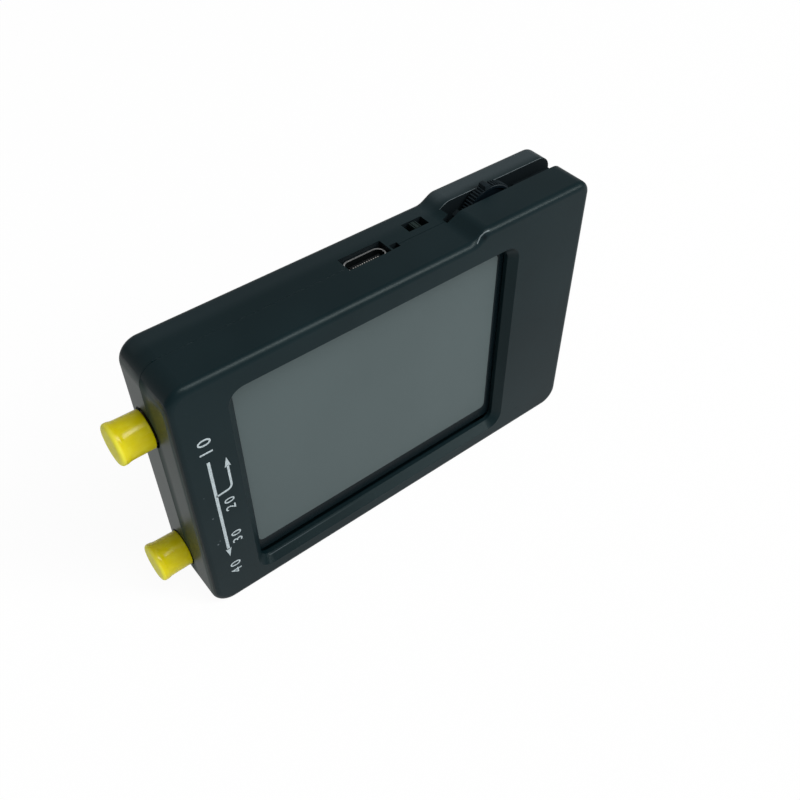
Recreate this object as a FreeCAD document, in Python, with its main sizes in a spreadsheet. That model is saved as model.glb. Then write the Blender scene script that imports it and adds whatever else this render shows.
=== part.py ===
import FreeCAD, Part

import math
import os
import re

import Sketcher
from FreeCAD import Placement, Rotation, Vector

# Pocket antenna analyzer, millimetres. It stands on its long bottom edge: the screen faces -Y, the two
# signal ports leave the left end (-X), and the socket, switch and jog wheel are on the top (+Z).
# The origin is the centre of the case's bottom face.

# The case is as large as the display and the margins round it, and as deep as what it holds.
SIZES = {
    # Case
    "joint_depth": 8.9,
    "joint_gap": 0.1,
    "side_wall": 2.0,
    "front_wall": 2.5,
    "back_wall": 1.7,
    "corner_radius": 4.2,
    "shoulder_corner_radius": 2.8,
    "edge_radius": 1.45,
    "shoulder_rise": 1.7,
    "ramp_to_right_end": 30.1,
    "ramp_run": 2.9,
    "ramp_radius": 3.0,
    "tongue_depth": 1.2,
    "tongue_gap": 0.1,
    # Screen window
    "window_left_overlap": 3.8,
    "window_right_overlap": 3.3,
    "window_top_overlap": 2.95,
    "window_sill_gap": 0.75,
    "window_radius": 2.0,
    "window_slope": 1.55,
    # Screws and their posts
    "post_radius": 1.9,
    "post_root_rise": 0.6,
    "screw_radius": 0.8,
    "screw_head_radius": 1.55,
    "screw_head_height": 1.1,
    "screw_length": 9.0,
    "screw_recess": 1.9,
    "screw_fit": 0.05,
    "screw_tip_gap": 0.8,
    "head_clearance": 0.25,
    "slot_width": 0.5,
    "post_glass_gap": 0.3,
    "right_post_inset": 1.5,
    "upper_post_drop": 5.7,
    "post_above_port": 9.4,
    "lower_right_post_height": 5.6,
    # Display stack, from the window backwards
    "gasket_thickness": 0.25,
    "gasket_width": 2.4,
    "gasket_inset": 0.4,
    "glass_left": 8.2,
    "glass_length": 69.2,
    "glass_right": 16.6,
    "glass_sill": 6.0,
    "glass_height": 50.0,
    "glass_drop": 3.7,
    "glass_thickness": 0.7,
    "panel_margin": 0.5,
    "panel_thickness": 1.2,
    "light_guide_thickness": 1.1,
    "tray_sheet": 0.3,
    "locating_rib_width": 1.0,
    "locating_rib_depth": 2.6,
    "locating_rib_length": 6.0,
    "locating_gap": 0.2,
    "locating_rib_margin": 4.0,
    # Main board
    "board_right": 4.3,
    "board_sill": 2.9,
    "board_drop": 2.8,
    "board_thickness": 1.6,
    "board_hole_clearance": 0.3,
    "board_corner_radius": 1.2,
    "rear_gap": 0.35,
    # Signal ports
    "upper_port_drop": 15.4,
    "lower_port_height": 9.0,
    "port_hole_radius": 4.05,
    "thread_radius": 3.175,
    "barrel_reach": 5.6,
    "barrel_edge": 0.3,
    "port_flange_side": 6.35,
    "port_flange_thickness": 1.9,
    "port_flange_gap": 0.3,
    "port_bore_radius": 2.3,
    "port_leg_length": 4.2,
    "port_leg_width": 1.0,
    "insulator_recess": 1.9,
    "insulator_gap": 0.02,
    "contact_radius": 0.635,
    "contact_recess": 1.3,
    "contact_socket_radius": 0.47,
    "contact_socket_depth": 2.0,
    "contact_tail": 1.6,
    "contact_lift": 0.015,
    # Dust caps
    "upper_cap_gap": 0.6,
    "lower_cap_gap": 0.1,
    "cap_length": 6.6,
    "cap_radius": 3.82,
    "cap_rim_radius": 4.02,
    "cap_rim_length": 1.35,
    "cap_bevel": 0.4,
    "cap_end_wall": 0.7,
    "cap_fit": 0.06,
    # Charging socket
    "socket_to_switch": 13.1,
    "socket_width": 8.94,
    "socket_thickness": 3.26,
    "socket_length": 7.35,
    "socket_sheet": 0.3,
    "socket_recess": 0.95,
    "socket_tongue_width": 6.7,
    "socket_tongue_thickness": 0.7,
    "socket_tongue_recess": 0.45,
    "socket_block_height": 2.6,
    "socket_contact_rows": 12,
    "socket_contact_spacing": 0.5,
    "socket_contact_width": 0.26,
    "socket_contact_length": 3.2,
    "socket_contact_height": 0.06,
    "socket_contact_setback": 0.1,
    "socket_fit": 0.05,
    "socket_opening_gap": 0.23,
    # Power switch
    "switch_to_ramp": 4.8,
    "switch_setback": 0.25,
    "switch_body_length": 8.6,
    "switch_body_thickness": 2.8,
    "switch_body_height": 3.7,
    "switch_body_drop": 2.6,
    "knob_length": 1.5,
    "knob_thickness": 2.0,
    "knob_sink": 0.15,
    "knob_root": 1.5,
    "knob_travel": 1.0,
    "knob_gap": 0.12,
    "knob_groove": 0.2,
    "knob_groove_spacing": 0.9,
    "switch_slot_margin": 0.6,
    "switch_slot_gap": 0.3,
    # Jog wheel and its switch
    "jog_to_right_end": 18.1,
    "jog_drop": 5.3,
    "jog_board_gap": 0.3,
    "jog_radius": 6.4,
    "jog_thickness": 2.0,
    "jog_face_dish": 0.35,
    "jog_rim_width": 0.9,
    "jog_hub_radius": 1.7,
    "jog_notch_count": 60,
    "jog_notch_depth": 0.28,
    "jog_notch_width": 0.34,
    "jog_nub_width": 2.4,
    "jog_nub_top": 1.7,
    "jog_nub_root": 0.3,
    "jog_nub_rise": 0.5,
    "jog_nub_angle": 9.0,
    "jog_pin_radius": 0.85,
    "jog_pin_gap": 0.05,
    "jog_pin_fit": 0.01,
    "jog_cheek_thickness": 0.45,
    "jog_cheek_width": 5.0,
    "jog_cheek_gap": 0.15,
    "jog_cheek_web": 0.5,
    "jog_cheek_shoulder": 1.0,
    "jog_guide_gap": 0.08,
    "jog_travel": 0.6,
    "jog_wheel_clearance": 0.4,
    "jog_base_length": 12.0,
    "jog_base_wall": 0.5,
    "jog_base_height": 5.1,
    "jog_well_depth": 3.6,
    "jog_leaf_length": 4.2,
    "jog_leaf_crest": 1.05,
    "jog_leaf_thickness": 0.12,
    "jog_leaf_rise": 0.35,
    "jog_leaf_gap": 0.05,
    "jog_slot_left_gap": 4.3,
    "jog_slot_right_gap": 1.7,
    "jog_slot_front_gap": 0.6,
    "jog_slot_back_gap": 0.45,
    "jog_trough_depth": 3.0,
    "jog_trough_wall": 1.4,
    # Light holes at the case joint
    "light_hole_width": 1.7,
    "light_hole_depth": 1.3,
    "charge_light_to_switch": 7.1,
    "status_light_to_slot": 0.45,
    "light_length": 1.6,
    "light_side": 0.8,
    "light_height": 0.7,
    "light_drop": 0.4,
    # Battery
    "battery_left": 16.0,
    "battery_sill": 8.0,
    "battery_thickness": 4.3,
    "battery_gap": 0.9,
    "battery_edge": 1.2,
    "battery_tape_thickness": 0.4,
    "battery_tape_margin": 4.0,
    "guard_margin": 2.0,
    "guard_length": 30.0,
    "guard_height": 3.4,
    "guard_thickness": 1.1,
    "plug_left": 21.0,
    "plug_length": 4.6,
    "battery_socket_drop": 1.0,
    "battery_socket_height": 3.6,
    "battery_socket_thickness": 3.0,
    "battery_socket_wall": 0.45,
    "plug_gap": 0.05,
    "plug_rise": 0.6,
    "lead_radius": 0.42,
    "lead_spacing": 1.25,
    "lead_run": 6.3,
    "lead_straight": 2.52,
    # Display ribbon
    "ribbon_thickness": 0.2,
    "ribbon_width": 20.0,
    "ribbon_sill": 16.0,
    "ribbon_overlap": 8.0,
    "ribbon_reach": 2.0,
    "ribbon_return": 3.6,
    "ribbon_socket_length": 5.2,
    "ribbon_socket_to_battery": 4.6,
    "ribbon_socket_height": 1.1,
    "ribbon_socket_margin": 1.5,
    # Shield cans on the board's back
    "can_left": 11.0,
    "can_length": 20.0,
    "can_width": 17.0,
    "can_rise": 1.9,
    "can_sheet": 0.2,
    "can_corner_radius": 0.8,
    "upper_can_drop": 8.7,
    "lower_can_drop": 5.1,
    "mixer_length": 4.9,
    "mixer_height": 3.9,
    "mixer_rise": 1.4,
    "mixer_margin": 3.0,
    # Chips on the board's back
    "processor_left": 46.0,
    "processor_sill": 24.0,
    "processor_side": 7.0,
    "processor_rise": 1.4,
    "codec_left": 36.0,
    "codec_sill": 25.0,
    "codec_side": 5.0,
    "codec_rise": 0.8,
    "clock_left": 36.0,
    "clock_sill": 40.0,
    "clock_side": 3.0,
    "clock_rise": 0.9,
    "crystal_left": 41.5,
    "crystal_sill": 40.0,
    "crystal_side": 2.5,
    "crystal_rise": 0.8,
    "charger_left": 60.0,
    "charger_drop": 12.9,
    "charger_side": 2.9,
    "charger_rise": 1.0,
    "regulator_left": 66.0,
    "regulator_drop": 12.9,
    "regulator_side": 2.9,
    "regulator_rise": 1.0,
    "inductor_left": 60.0,
    "inductor_drop": 20.9,
    "inductor_side": 4.0,
    "inductor_rise": 1.85,
    "chip_bevel": 0.1,
    "capacitor_length": 2.0,
    "capacitor_width": 1.25,
    "capacitor_rise": 1.2,
    "capacitor_left": 34.0,
    "capacitor_sill": 18.0,
    "capacitor_spacing": 4.4,
    "resistor_length": 1.0,
    "resistor_width": 0.5,
    "resistor_rise": 0.35,
    "resistor_left": 35.0,
    "resistor_sill": 36.0,
    "resistor_spacing": 2.6,
}

PLACES = {
    # How far a cut runs past the face that it opens
    "past": "1",
    # Outside of the case
    "case_length": "glass_left + glass_length + glass_right",
    "case_height": "glass_sill + glass_height + glass_drop",
    "board_depth": "front_wall + gasket_thickness + glass_thickness + panel_thickness + "
                   "light_guide_thickness + tray_sheet + battery_gap + battery_thickness + "
                   "battery_tape_thickness",
    "case_depth": "board_depth + board_thickness + can_rise + rear_gap + back_wall",
    "left": "-case_length / 2",
    "right": "case_length / 2",
    "front": "-case_depth / 2",
    "back": "case_depth / 2",
    "joint": "front + joint_depth",
    "back_edge": "joint + joint_gap",
    "shoulder_height": "case_height + shoulder_rise",
    "ramp_bottom": "right - ramp_to_right_end",
    "ramp_top": "ramp_bottom + ramp_run",
    "inner_back": "back - back_wall",
    # Screen window and display, front to back
    "glass_low": "left + glass_left",
    "glass_high": "glass_low + glass_length",
    "glass_top": "glass_sill + glass_height",
    "window_low": "glass_low + window_left_overlap",
    "window_high": "glass_high - window_right_overlap",
    "window_sill": "glass_sill - window_sill_gap",
    "window_top": "glass_top - window_top_overlap",
    "gasket_front": "front + front_wall",
    "glass_front": "gasket_front + gasket_thickness",
    "panel_front": "glass_front + glass_thickness",
    "light_guide_front": "panel_front + panel_thickness",
    "tray_inside": "light_guide_front + light_guide_thickness",
    "tray_back": "tray_inside + tray_sheet",
    # Main board and what stands on it
    "board_front": "front + board_depth",
    "board_back": "board_front + board_thickness",
    "port_flange_front": "left + side_wall + port_flange_gap",
    "board_low": "port_flange_front + port_flange_thickness",
    "board_high": "right - board_right",
    "board_top": "case_height - board_drop",
    "port_axis": "board_front - contact_radius - contact_lift",
    "upper_port_height": "case_height - upper_port_drop",
    "barrel_tip": "left - barrel_reach",
    "left_post": "glass_low - post_glass_gap - post_radius",
    "right_post": "board_high - right_post_inset",
    "upper_post": "case_height - upper_post_drop",
    "switch_middle": "ramp_bottom - switch_to_ramp",
    "switch_axis": "board_front + switch_setback",
    "switch_top": "case_height - switch_body_drop",
    "knob_top": "case_height - knob_sink",
    "socket_middle": "switch_middle - socket_to_switch",
    "socket_axis": "board_front - socket_thickness / 2",
    "socket_mouth": "case_height - socket_recess",
    "charge_light_middle": "switch_middle - charge_light_to_switch",
    # Jog wheel, its switch and its slot
    "jog_middle": "right - jog_to_right_end",
    "jog_height": "shoulder_height - jog_drop",
    "jog_back": "board_front - jog_board_gap",
    "jog_axis": "jog_back - jog_thickness / 2",
    "jog_cheek_back": "jog_back - jog_thickness - jog_cheek_gap",
    "jog_cheek_front": "jog_cheek_back - jog_cheek_thickness",
    "jog_base_front": "jog_cheek_front - jog_base_wall - jog_guide_gap",
    "jog_base_top": "jog_height - jog_radius - jog_travel - jog_wheel_clearance",
    "jog_well_floor": "jog_base_top - jog_well_depth",
    "jog_foot": "jog_well_floor + jog_leaf_rise + jog_leaf_gap + jog_travel",
    "slot_low": "jog_middle - jog_radius - jog_slot_left_gap",
    "slot_front": "jog_cheek_front - jog_slot_front_gap",
    "slot_back": "jog_back + jog_slot_back_gap",
    "status_light_middle": "slot_low - status_light_to_slot",
    "trough_low": "jog_middle + jog_radius + jog_slot_right_gap",
    "trough_floor": "shoulder_height - jog_trough_depth",
    # Battery, its lead and the display ribbon
    "ribbon_bend": "glass_high + ribbon_reach",
    "ribbon_socket_high": "ribbon_bend - ribbon_return",
    "ribbon_socket_low": "ribbon_socket_high - ribbon_socket_length",
    "battery_back": "board_front - battery_tape_thickness",
    "battery_front": "battery_back - battery_thickness",
    "battery_low": "left + battery_left",
    "battery_high": "ribbon_socket_low - ribbon_socket_to_battery",
    "battery_socket_top": "board_top - battery_socket_drop",
    "plug_mouth": "battery_socket_top - battery_socket_height",
    "plug_bottom": "plug_mouth - plug_rise",
    "guard_top": "plug_bottom - lead_run",
    "battery_top": "guard_top - guard_height",
    "guard_low": "battery_low + guard_margin",
    "plug_low": "left + plug_left",
    # Back of the board
    "can_low": "left + can_left",
    "upper_can_sill": "upper_port_height - upper_can_drop",
    "lower_can_sill": "lower_port_height - lower_can_drop",
    "charger_sill": "board_top - charger_drop",
    "regulator_sill": "board_top - regulator_drop",
    "inductor_sill": "board_top - inductor_drop",
}

# Screw posts as (across, up) formulas.
POSTS = {
    "upper_left": ("left_post", "upper_post"),
    "lower_left": ("left_post", "lower_port_height + post_above_port"),
    "upper_right": ("right_post", "upper_post"),
    "lower_right": ("right_post", "lower_right_post_height"),
}
# Each port's height, and the gap between its barrel and the end of its dust cap.
PORTS = {"upper": ("upper_port_height", "upper_cap_gap"), "lower": ("lower_port_height", "lower_cap_gap")}
# Middles of the two lights and their holes.
LIGHTS = {"charge_light": "charge_light_middle", "status_light": "status_light_middle"}

CHIPS = {
    "processor_chip": "processor",
    "codec_chip": "codec",
    "clock_chip": "clock",
    "clock_crystal": "crystal",
    "charger_chip": "charger",
    "regulator_chip": "regulator",
    "power_inductor": "inductor",
}
ROW_COUNT = 6
# Pipe corners that meet in a mitre
MITRED = 1

# Turns that lay a feature's own Z along each axis of the case.
TURNS = {
    "x": Rotation(Vector(0, 1, 0), 90),
    "-x": Rotation(Vector(0, 1, 0), -90),
    "y": Rotation(Vector(1, 0, 0), -90),
    "-y": Rotation(Vector(1, 0, 0), 90),
    "z": Rotation(),
}
NEAR = 1e-4

doc = FreeCAD.newDocument("AntennaAnalyzer")
pieces = []


def linked(formula):
    """The formula with every size and place written as a reference to its sheet."""
    def reference(word):
        if word[0] in SIZES:
            return "Sizes." + word[0]
        return "Places." + word[0] if word[0] in PLACES else word[0]
    return re.sub(r"[a-z_]+", reference, str(formula))


def fill_sheets():
    """Write the driving sizes as plain numbers, and the worked-out places as formulas on them."""
    for name, cells in (("Sizes", SIZES), ("Places", PLACES)):
        sheet = doc.addObject("Spreadsheet::Sheet", name)
        for row, (alias, content) in enumerate(cells.items(), start=1):
            sheet.set(f"A{row}", alias)
            sheet.set(f"B{row}", str(content) if name == "Sizes" else "=" + linked(content))
            sheet.setAlias(f"B{row}", alias)
        doc.recompute()
    return doc.Sizes, doc.Places


def value(formula):
    """The number that a formula gives now."""
    return float(sizes.evalExpression(linked(formula)))


def bind(feature, **formulas):
    """Tie properties to the sheets; x, y and z stand for the feature's own base point."""
    for name, formula in formulas.items():
        path = f"Placement.Base.{name}" if name in "xyz" else name
        feature.setExpression(path, linked(formula))
    return feature


def new_piece(label):
    """A PartDesign body that will be one physical piece."""
    piece = doc.addObject("PartDesign::Body", "Piece_" + label)
    piece.Label = label
    pieces.append(piece)
    return piece


def block(piece, low, high, removes=False):
    """A box between two corners, added to the piece or taken out of it."""
    kind = "PartDesign::SubtractiveBox" if removes else "PartDesign::AdditiveBox"
    feature = bind(piece.newObject(kind, "Block"), x=low[0], y=low[1], z=low[2])
    for side, start, end in zip(("Length", "Width", "Height"), low, high):
        bind(feature, **{side: f"({end}) - ({start})"})
    return feature


def rod(piece, start, axis, length, radius, removes=False):
    """A cylinder that runs from its start along an axis."""
    kind = "PartDesign::SubtractiveCylinder" if removes else "PartDesign::AdditiveCylinder"
    feature = piece.newObject(kind, "Rod")
    feature.Placement = Placement(Vector(), TURNS[axis])
    return bind(feature, x=start[0], y=start[1], z=start[2], Height=length, Radius=radius)


def outline(piece, plane, corners):
    """A closed sketch of straight runs between (across, up) corners, rounded where a radius follows."""
    sketch = piece.newObject("Sketcher::SketchObject", "Outline")
    origin_plane = next(part for part in piece.Origin.OriginFeatures if part.Role == plane)
    sketch.AttachmentSupport = [(origin_plane, "")]
    sketch.MapMode = "FlatFace"
    points = [Vector(value(corner[0]), value(corner[1]), 0) for corner in corners]
    for start, end in zip(points, points[1:] + points[:1]):
        sketch.addGeometry(Part.LineSegment(start, end), False)
    for number in range(len(points)):
        sketch.addConstraint(Sketcher.Constraint("Coincident", number, 2, (number + 1) % len(points), 1))
    for number, (corner, point) in enumerate(zip(corners, points)):
        for kind, formula, distance in zip(("DistanceX", "DistanceY"), corner, point):
            held = sketch.addConstraint(Sketcher.Constraint(kind, -1, 1, number, 1, distance))
            sketch.setExpression(f"Constraints[{held}]", linked(formula))
    for number, corner in enumerate(corners):
        if len(corner) == 3:
            arc = sketch.GeometryCount
            sketch.fillet(number, 1, value(corner[2]), True, True)
            held = sketch.addConstraint(Sketcher.Constraint("Radius", arc, value(corner[2])))
            sketch.setExpression(f"Constraints[{held}]", linked(corner[2]))
    return sketch


def rectangle(low, high, radius):
    """The four corners of an upright rectangle with rounded corners."""
    places = ((low[0], low[1]), (high[0], low[1]), (high[0], high[1]), (low[0], high[1]))
    return [(across, up, radius) for across, up in places]


def slab(piece, corners, near, far, removes=False):
    """An outline across the case, padded or cut from one depth to another."""
    sketch = outline(piece, "XZ_Plane", corners)
    bind(sketch, **{"AttachmentOffset.Base.z": f"-({near if removes else far})"})
    feature = piece.newObject("PartDesign::Pocket" if removes else "PartDesign::Pad", "Slab")
    feature.Profile = sketch
    bind(feature, Length=f"({far}) - ({near})")
    sketch.Visibility = False
    doc.recompute()
    return feature


def turned(piece, profile):
    """A solid turned about the piece's own Z from (radius, along) corners."""
    sketch = outline(piece, "XZ_Plane", profile)
    feature = piece.newObject("PartDesign::Revolution", "Turned")
    feature.Profile = sketch
    feature.ReferenceAxis = (sketch, ["V_Axis"])
    feature.Angle = 360
    doc.recompute()
    return feature


def finish_edges(piece, kind, picks, **formulas):
    """Round or bevel the piece's edges that the test picks."""
    doc.recompute()
    base = piece.Tip
    names = [f"Edge{i}" for i, edge in enumerate(base.Shape.Edges, start=1) if picks(edge)]
    feature = piece.newObject("PartDesign::" + kind, kind)
    feature.Base = (base, names)
    bind(feature, **formulas)
    doc.recompute()
    return feature


def flat_at(depth, reach=None):
    """A test for edges that lie in the plane at a depth, and inside the reach if one is given."""
    level = value(depth)

    def picks(edge):
        box = edge.BoundBox
        if abs(box.YMin - level) > NEAR or abs(box.YMax - level) > NEAR:
            return False
        if reach is None:
            return True
        (low_x, low_z), (high_x, high_z) = reach
        inside_x = box.XMin > value(low_x) - NEAR and box.XMax < value(high_x) + NEAR
        return inside_x and box.ZMin > value(low_z) - NEAR and box.ZMax < value(high_z) + NEAR
    return picks


def case_outline(inset):
    """The case's outline seen from the front, moved inwards by an inset, all its corners concentric."""
    lean = f"({inset}) * tan(atan(shoulder_rise / ramp_run) / 2)"
    low, high, floor = f"left + {inset}", f"right - ({inset})", f"{inset}"
    top, shoulder = f"case_height - ({inset})", f"shoulder_height - ({inset})"
    corner = f"corner_radius - ({inset})"
    return [(low, floor, corner), (high, floor, corner),
            (high, shoulder, f"shoulder_corner_radius - ({inset})"),
            (f"ramp_top + {lean}", shoulder, f"ramp_radius - ({inset})"),
            (f"ramp_bottom + {lean}", top, f"ramp_radius + {inset}"),
            (low, top, corner)]


def cut_openings(piece, slot_start):
    """The openings that cross both halves of the case: ports, socket, lights and the jog wheel's slot."""
    under_top = "case_height - side_wall - past"
    for height, _cap_gap in PORTS.values():
        rod(piece, ("left - past", "port_axis", height), "x", "side_wall + 2 * past", "port_hole_radius",
            removes=True)
    half = "(socket_width / 2 + socket_opening_gap)"
    near, far = "board_front - socket_thickness - socket_opening_gap", "board_front + socket_opening_gap"
    block(piece, (f"socket_middle - {half}", near, under_top),
          (f"socket_middle + {half}", far, "case_height + past"), removes=True)
    for middle in LIGHTS.values():
        block(piece, (f"{middle} - light_hole_width / 2", "joint - light_hole_depth / 2", under_top),
              (f"{middle} + light_hole_width / 2", "joint + light_hole_depth / 2", "shoulder_height"),
              removes=True)
    block(piece, (slot_start, "slot_front", under_top), ("trough_low", "slot_back", "shoulder_height + past"),
          removes=True)
    block(piece, ("trough_low", "slot_front", "trough_floor"),
          ("right + past", "slot_back", "shoulder_height + past"), removes=True)


def slot_lining(piece, lip_near, lip_far, floor_near, floor_far):
    """The lip along the jog wheel's slot and the floor under its open end."""
    bottom, top = "trough_floor - jog_trough_wall", "shoulder_height - side_wall / 2"
    end = "right - side_wall / 2"
    block(piece, ("ramp_top", lip_near, bottom), (end, lip_far, top))
    block(piece, ("trough_low - jog_trough_wall", floor_near, bottom), (end, floor_far, top))


def make_front_shell():
    """Front half: sloped window, rounded outer edge, screw posts, locating ribs and tongue rebate."""
    shell = new_piece("front_shell")
    slab(shell, case_outline("0"), "front", "joint")
    finish_edges(shell, "Fillet", flat_at("front"), Radius="edge_radius")
    slab(shell, case_outline("side_wall"), "gasket_front", "joint", removes=True)
    slab(shell, case_outline("side_wall / 2"), "joint - tongue_depth", "joint", removes=True)
    near = "slot_front - jog_trough_wall"
    slot_lining(shell, near, "slot_front", near, "joint")
    window = (("window_low", "window_sill"), ("window_high", "window_top"))
    slab(shell, rectangle(*window, "window_radius"), "front", "gasket_front", removes=True)
    finish_edges(shell, "Chamfer", flat_at("front", window), Size="window_slope")
    for across, up in POSTS.values():
        rod(shell, (across, "gasket_front - post_root_rise", up), "y",
            "board_front - gasket_front + post_root_rise", "post_radius")
        screw_tip = "(back - screw_recess - screw_length)"
        rod(shell, (across, "board_front + past", up), "-y",
            f"board_front + past - {screw_tip} + screw_tip_gap", "screw_radius + screw_fit", removes=True)
    for side in ("glass_low - locating_gap - locating_rib_width", "glass_high + locating_gap"):
        for sill in ("glass_sill + locating_rib_margin",
                     "glass_top - locating_rib_margin - locating_rib_length"):
            block(shell, (side, "gasket_front - front_wall / 2", sill),
                  (f"{side} + locating_rib_width", "gasket_front + locating_rib_depth",
                   f"{sill} + locating_rib_length"))
    cut_openings(shell, "ramp_top")


def make_back_shell():
    """Back half: plain back with recessed screws, a tongue into the front half and the switch slot."""
    shell = new_piece("back_shell")
    slab(shell, case_outline("0"), "back_edge", "back")
    finish_edges(shell, "Fillet", flat_at("back"), Radius="edge_radius")
    slab(shell, case_outline("side_wall / 2 + tongue_gap"), "joint - tongue_depth + tongue_gap", "back_edge")
    slab(shell, case_outline("side_wall"), "joint - tongue_depth", "inner_back", removes=True)
    below_floor = "trough_floor - jog_trough_wall - tongue_gap"
    block(shell, ("slot_low - tongue_gap", "joint - tongue_depth", below_floor),
          ("right + past", "back_edge", "shoulder_height"), removes=True)
    far = "slot_back + jog_trough_wall"
    slot_lining(shell, "slot_back", far, "back_edge", far)
    for across, up in POSTS.values():
        rod(shell, (across, "board_back", up), "y", "inner_back - board_back + post_root_rise", "post_radius")
        rod(shell, (across, "board_back - past", up), "y", "back - board_back + 2 * past",
            "screw_radius + board_hole_clearance", removes=True)
        rod(shell, (across, "back - screw_recess", up), "y", "screw_recess + past",
            "screw_head_radius + head_clearance", removes=True)
    half_slot = "(knob_length / 2 + knob_travel + switch_slot_margin)"
    half_width = "(knob_thickness / 2 + switch_slot_gap)"
    block(shell,
          (f"switch_middle - {half_slot}", f"switch_axis - {half_width}", "case_height - side_wall - past"),
          (f"switch_middle + {half_slot}", f"switch_axis + {half_width}", "case_height + past"), removes=True)
    cut_openings(shell, "slot_low")


def group(label, members):
    """Several separate solids that make one named piece."""
    compound = doc.addObject("Part::Compound", "Piece_" + label)
    compound.Label = label
    compound.Links = members
    pieces.append(compound)
    return compound


def loose_box(low, high):
    """A Part box between two corners, for a member of a group."""
    box = bind(doc.addObject("Part::Box", "Box"), x=low[0], y=low[1], z=low[2])
    for side, start, end in zip(("Length", "Width", "Height"), low, high):
        bind(box, **{side: f"({end}) - ({start})"})
    return box


def loose_rod(start, axis, length, radius):
    """A Part cylinder, for a member of a group."""
    cylinder = doc.addObject("Part::Cylinder", "Cylinder")
    cylinder.Placement = Placement(Vector(), TURNS[axis])
    return bind(cylinder, x=start[0], y=start[1], z=start[2], Height=length, Radius=radius)


def make_screws():
    """Four pan-head screws that draw the back half onto the front half through the board."""
    screws = []
    for across, up in POSTS.values():
        seat = "back - screw_recess"
        head = loose_rod((across, seat, up), "y", "screw_head_height", "screw_head_radius")
        shank = loose_rod((across, seat, up), "-y", "screw_length", "screw_radius")
        slot_low = (f"{across} - screw_head_radius - past", f"{seat} + screw_head_height / 2",
                    f"{up} - slot_width / 2")
        slot_high = (f"{across} + screw_head_radius + past", f"{seat} + screw_head_height + past",
                     f"{up} + slot_width / 2")
        whole = doc.addObject("Part::Fuse", "Screw")
        whole.Base, whole.Tool = head, shank
        driven = doc.addObject("Part::Cut", "DrivenScrew")
        driven.Base, driven.Tool = whole, loose_box(slot_low, slot_high)
        screws.append(driven)
    group("case_screws", screws)


def make_display():
    """Foam gasket, touch glass, panel, light guide and their metal tray, behind the window."""
    gasket = new_piece("window_gasket")
    outer = ("window_low - gasket_inset - gasket_width", "window_high + gasket_inset + gasket_width")
    block(gasket, (outer[0], "gasket_front", "glass_sill + gasket_inset"),
          (outer[1], "glass_front", "glass_top - gasket_inset"))
    block(gasket, ("window_low - gasket_inset", "gasket_front - past", "glass_sill - past"),
          ("window_high + gasket_inset", "glass_front + past", "window_top + gasket_inset"), removes=True)
    glass = new_piece("touch_glass")
    block(glass, ("glass_low", "glass_front", "glass_sill"), ("glass_high", "panel_front", "glass_top"))
    for label, near, far in (("lcd_panel", "panel_front", "light_guide_front"),
                             ("light_guide", "light_guide_front", "tray_inside")):
        layer = new_piece(label)
        block(layer, ("glass_low + panel_margin", near, "glass_sill + panel_margin"),
              ("glass_high - panel_margin", far, "glass_top - panel_margin"))
    tray = new_piece("backlight_tray")
    block(tray, ("glass_low", "panel_front", "glass_sill"), ("glass_high", "tray_back", "glass_top"))
    block(tray, ("glass_low + tray_sheet", "panel_front - past", "glass_sill + tray_sheet"),
          ("glass_high - tray_sheet", "tray_inside", "glass_top - tray_sheet"), removes=True)


def make_ribbon():
    """Display ribbon: glued to the tray, round one bend past its edge and into its socket on the board."""
    ribbon = new_piece("display_ribbon")
    far_run = "board_front - ribbon_socket_height / 2 - ribbon_thickness / 2"
    bend = f"({far_run} + ribbon_thickness - tray_back) / 2"
    middle = f"tray_back + {bend}"
    top = "ribbon_sill + ribbon_width"
    rod(ribbon, ("ribbon_bend", middle, "ribbon_sill"), "z", "ribbon_width", bend)
    rod(ribbon, ("ribbon_bend", middle, "ribbon_sill - past"), "z", "ribbon_width + 2 * past",
        f"{bend} - ribbon_thickness", removes=True)
    block(ribbon, (f"ribbon_bend - 2 * ({bend})", "tray_back - past", "ribbon_sill - past"),
          ("ribbon_bend", "board_front", f"{top} + past"), removes=True)
    block(ribbon, ("glass_high - ribbon_overlap", "tray_back", "ribbon_sill"),
          ("ribbon_bend", "tray_back + ribbon_thickness", top))
    block(ribbon, ("ribbon_socket_high", far_run, "ribbon_sill"),
          ("ribbon_bend", f"{far_run} + ribbon_thickness", top))
    socket = new_piece("ribbon_connector")
    front = "board_front - ribbon_socket_height"
    block(socket, ("ribbon_socket_low", front, "ribbon_sill - ribbon_socket_margin"),
          ("ribbon_socket_high", "board_front", f"{top} + ribbon_socket_margin"))


def make_board():
    """Main board, notched for the switch and drilled for the screws."""
    board = new_piece("main_board")
    corners = rectangle(("board_low", "board_sill"), ("board_high", "board_top"), "board_corner_radius")
    slab(board, corners, "board_front", "board_back")
    half_notch = "(switch_body_length / 2 + knob_gap)"
    notch_floor = "switch_top - switch_body_height - knob_gap"
    block(board, (f"switch_middle - {half_notch}", "board_front - past", notch_floor),
          (f"switch_middle + {half_notch}", "board_back + past", "board_top + past"), removes=True)
    for across, up in POSTS.values():
        rod(board, (across, "board_front - past", up), "y", "board_thickness + 2 * past",
            "screw_radius + board_hole_clearance", removes=True)


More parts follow.
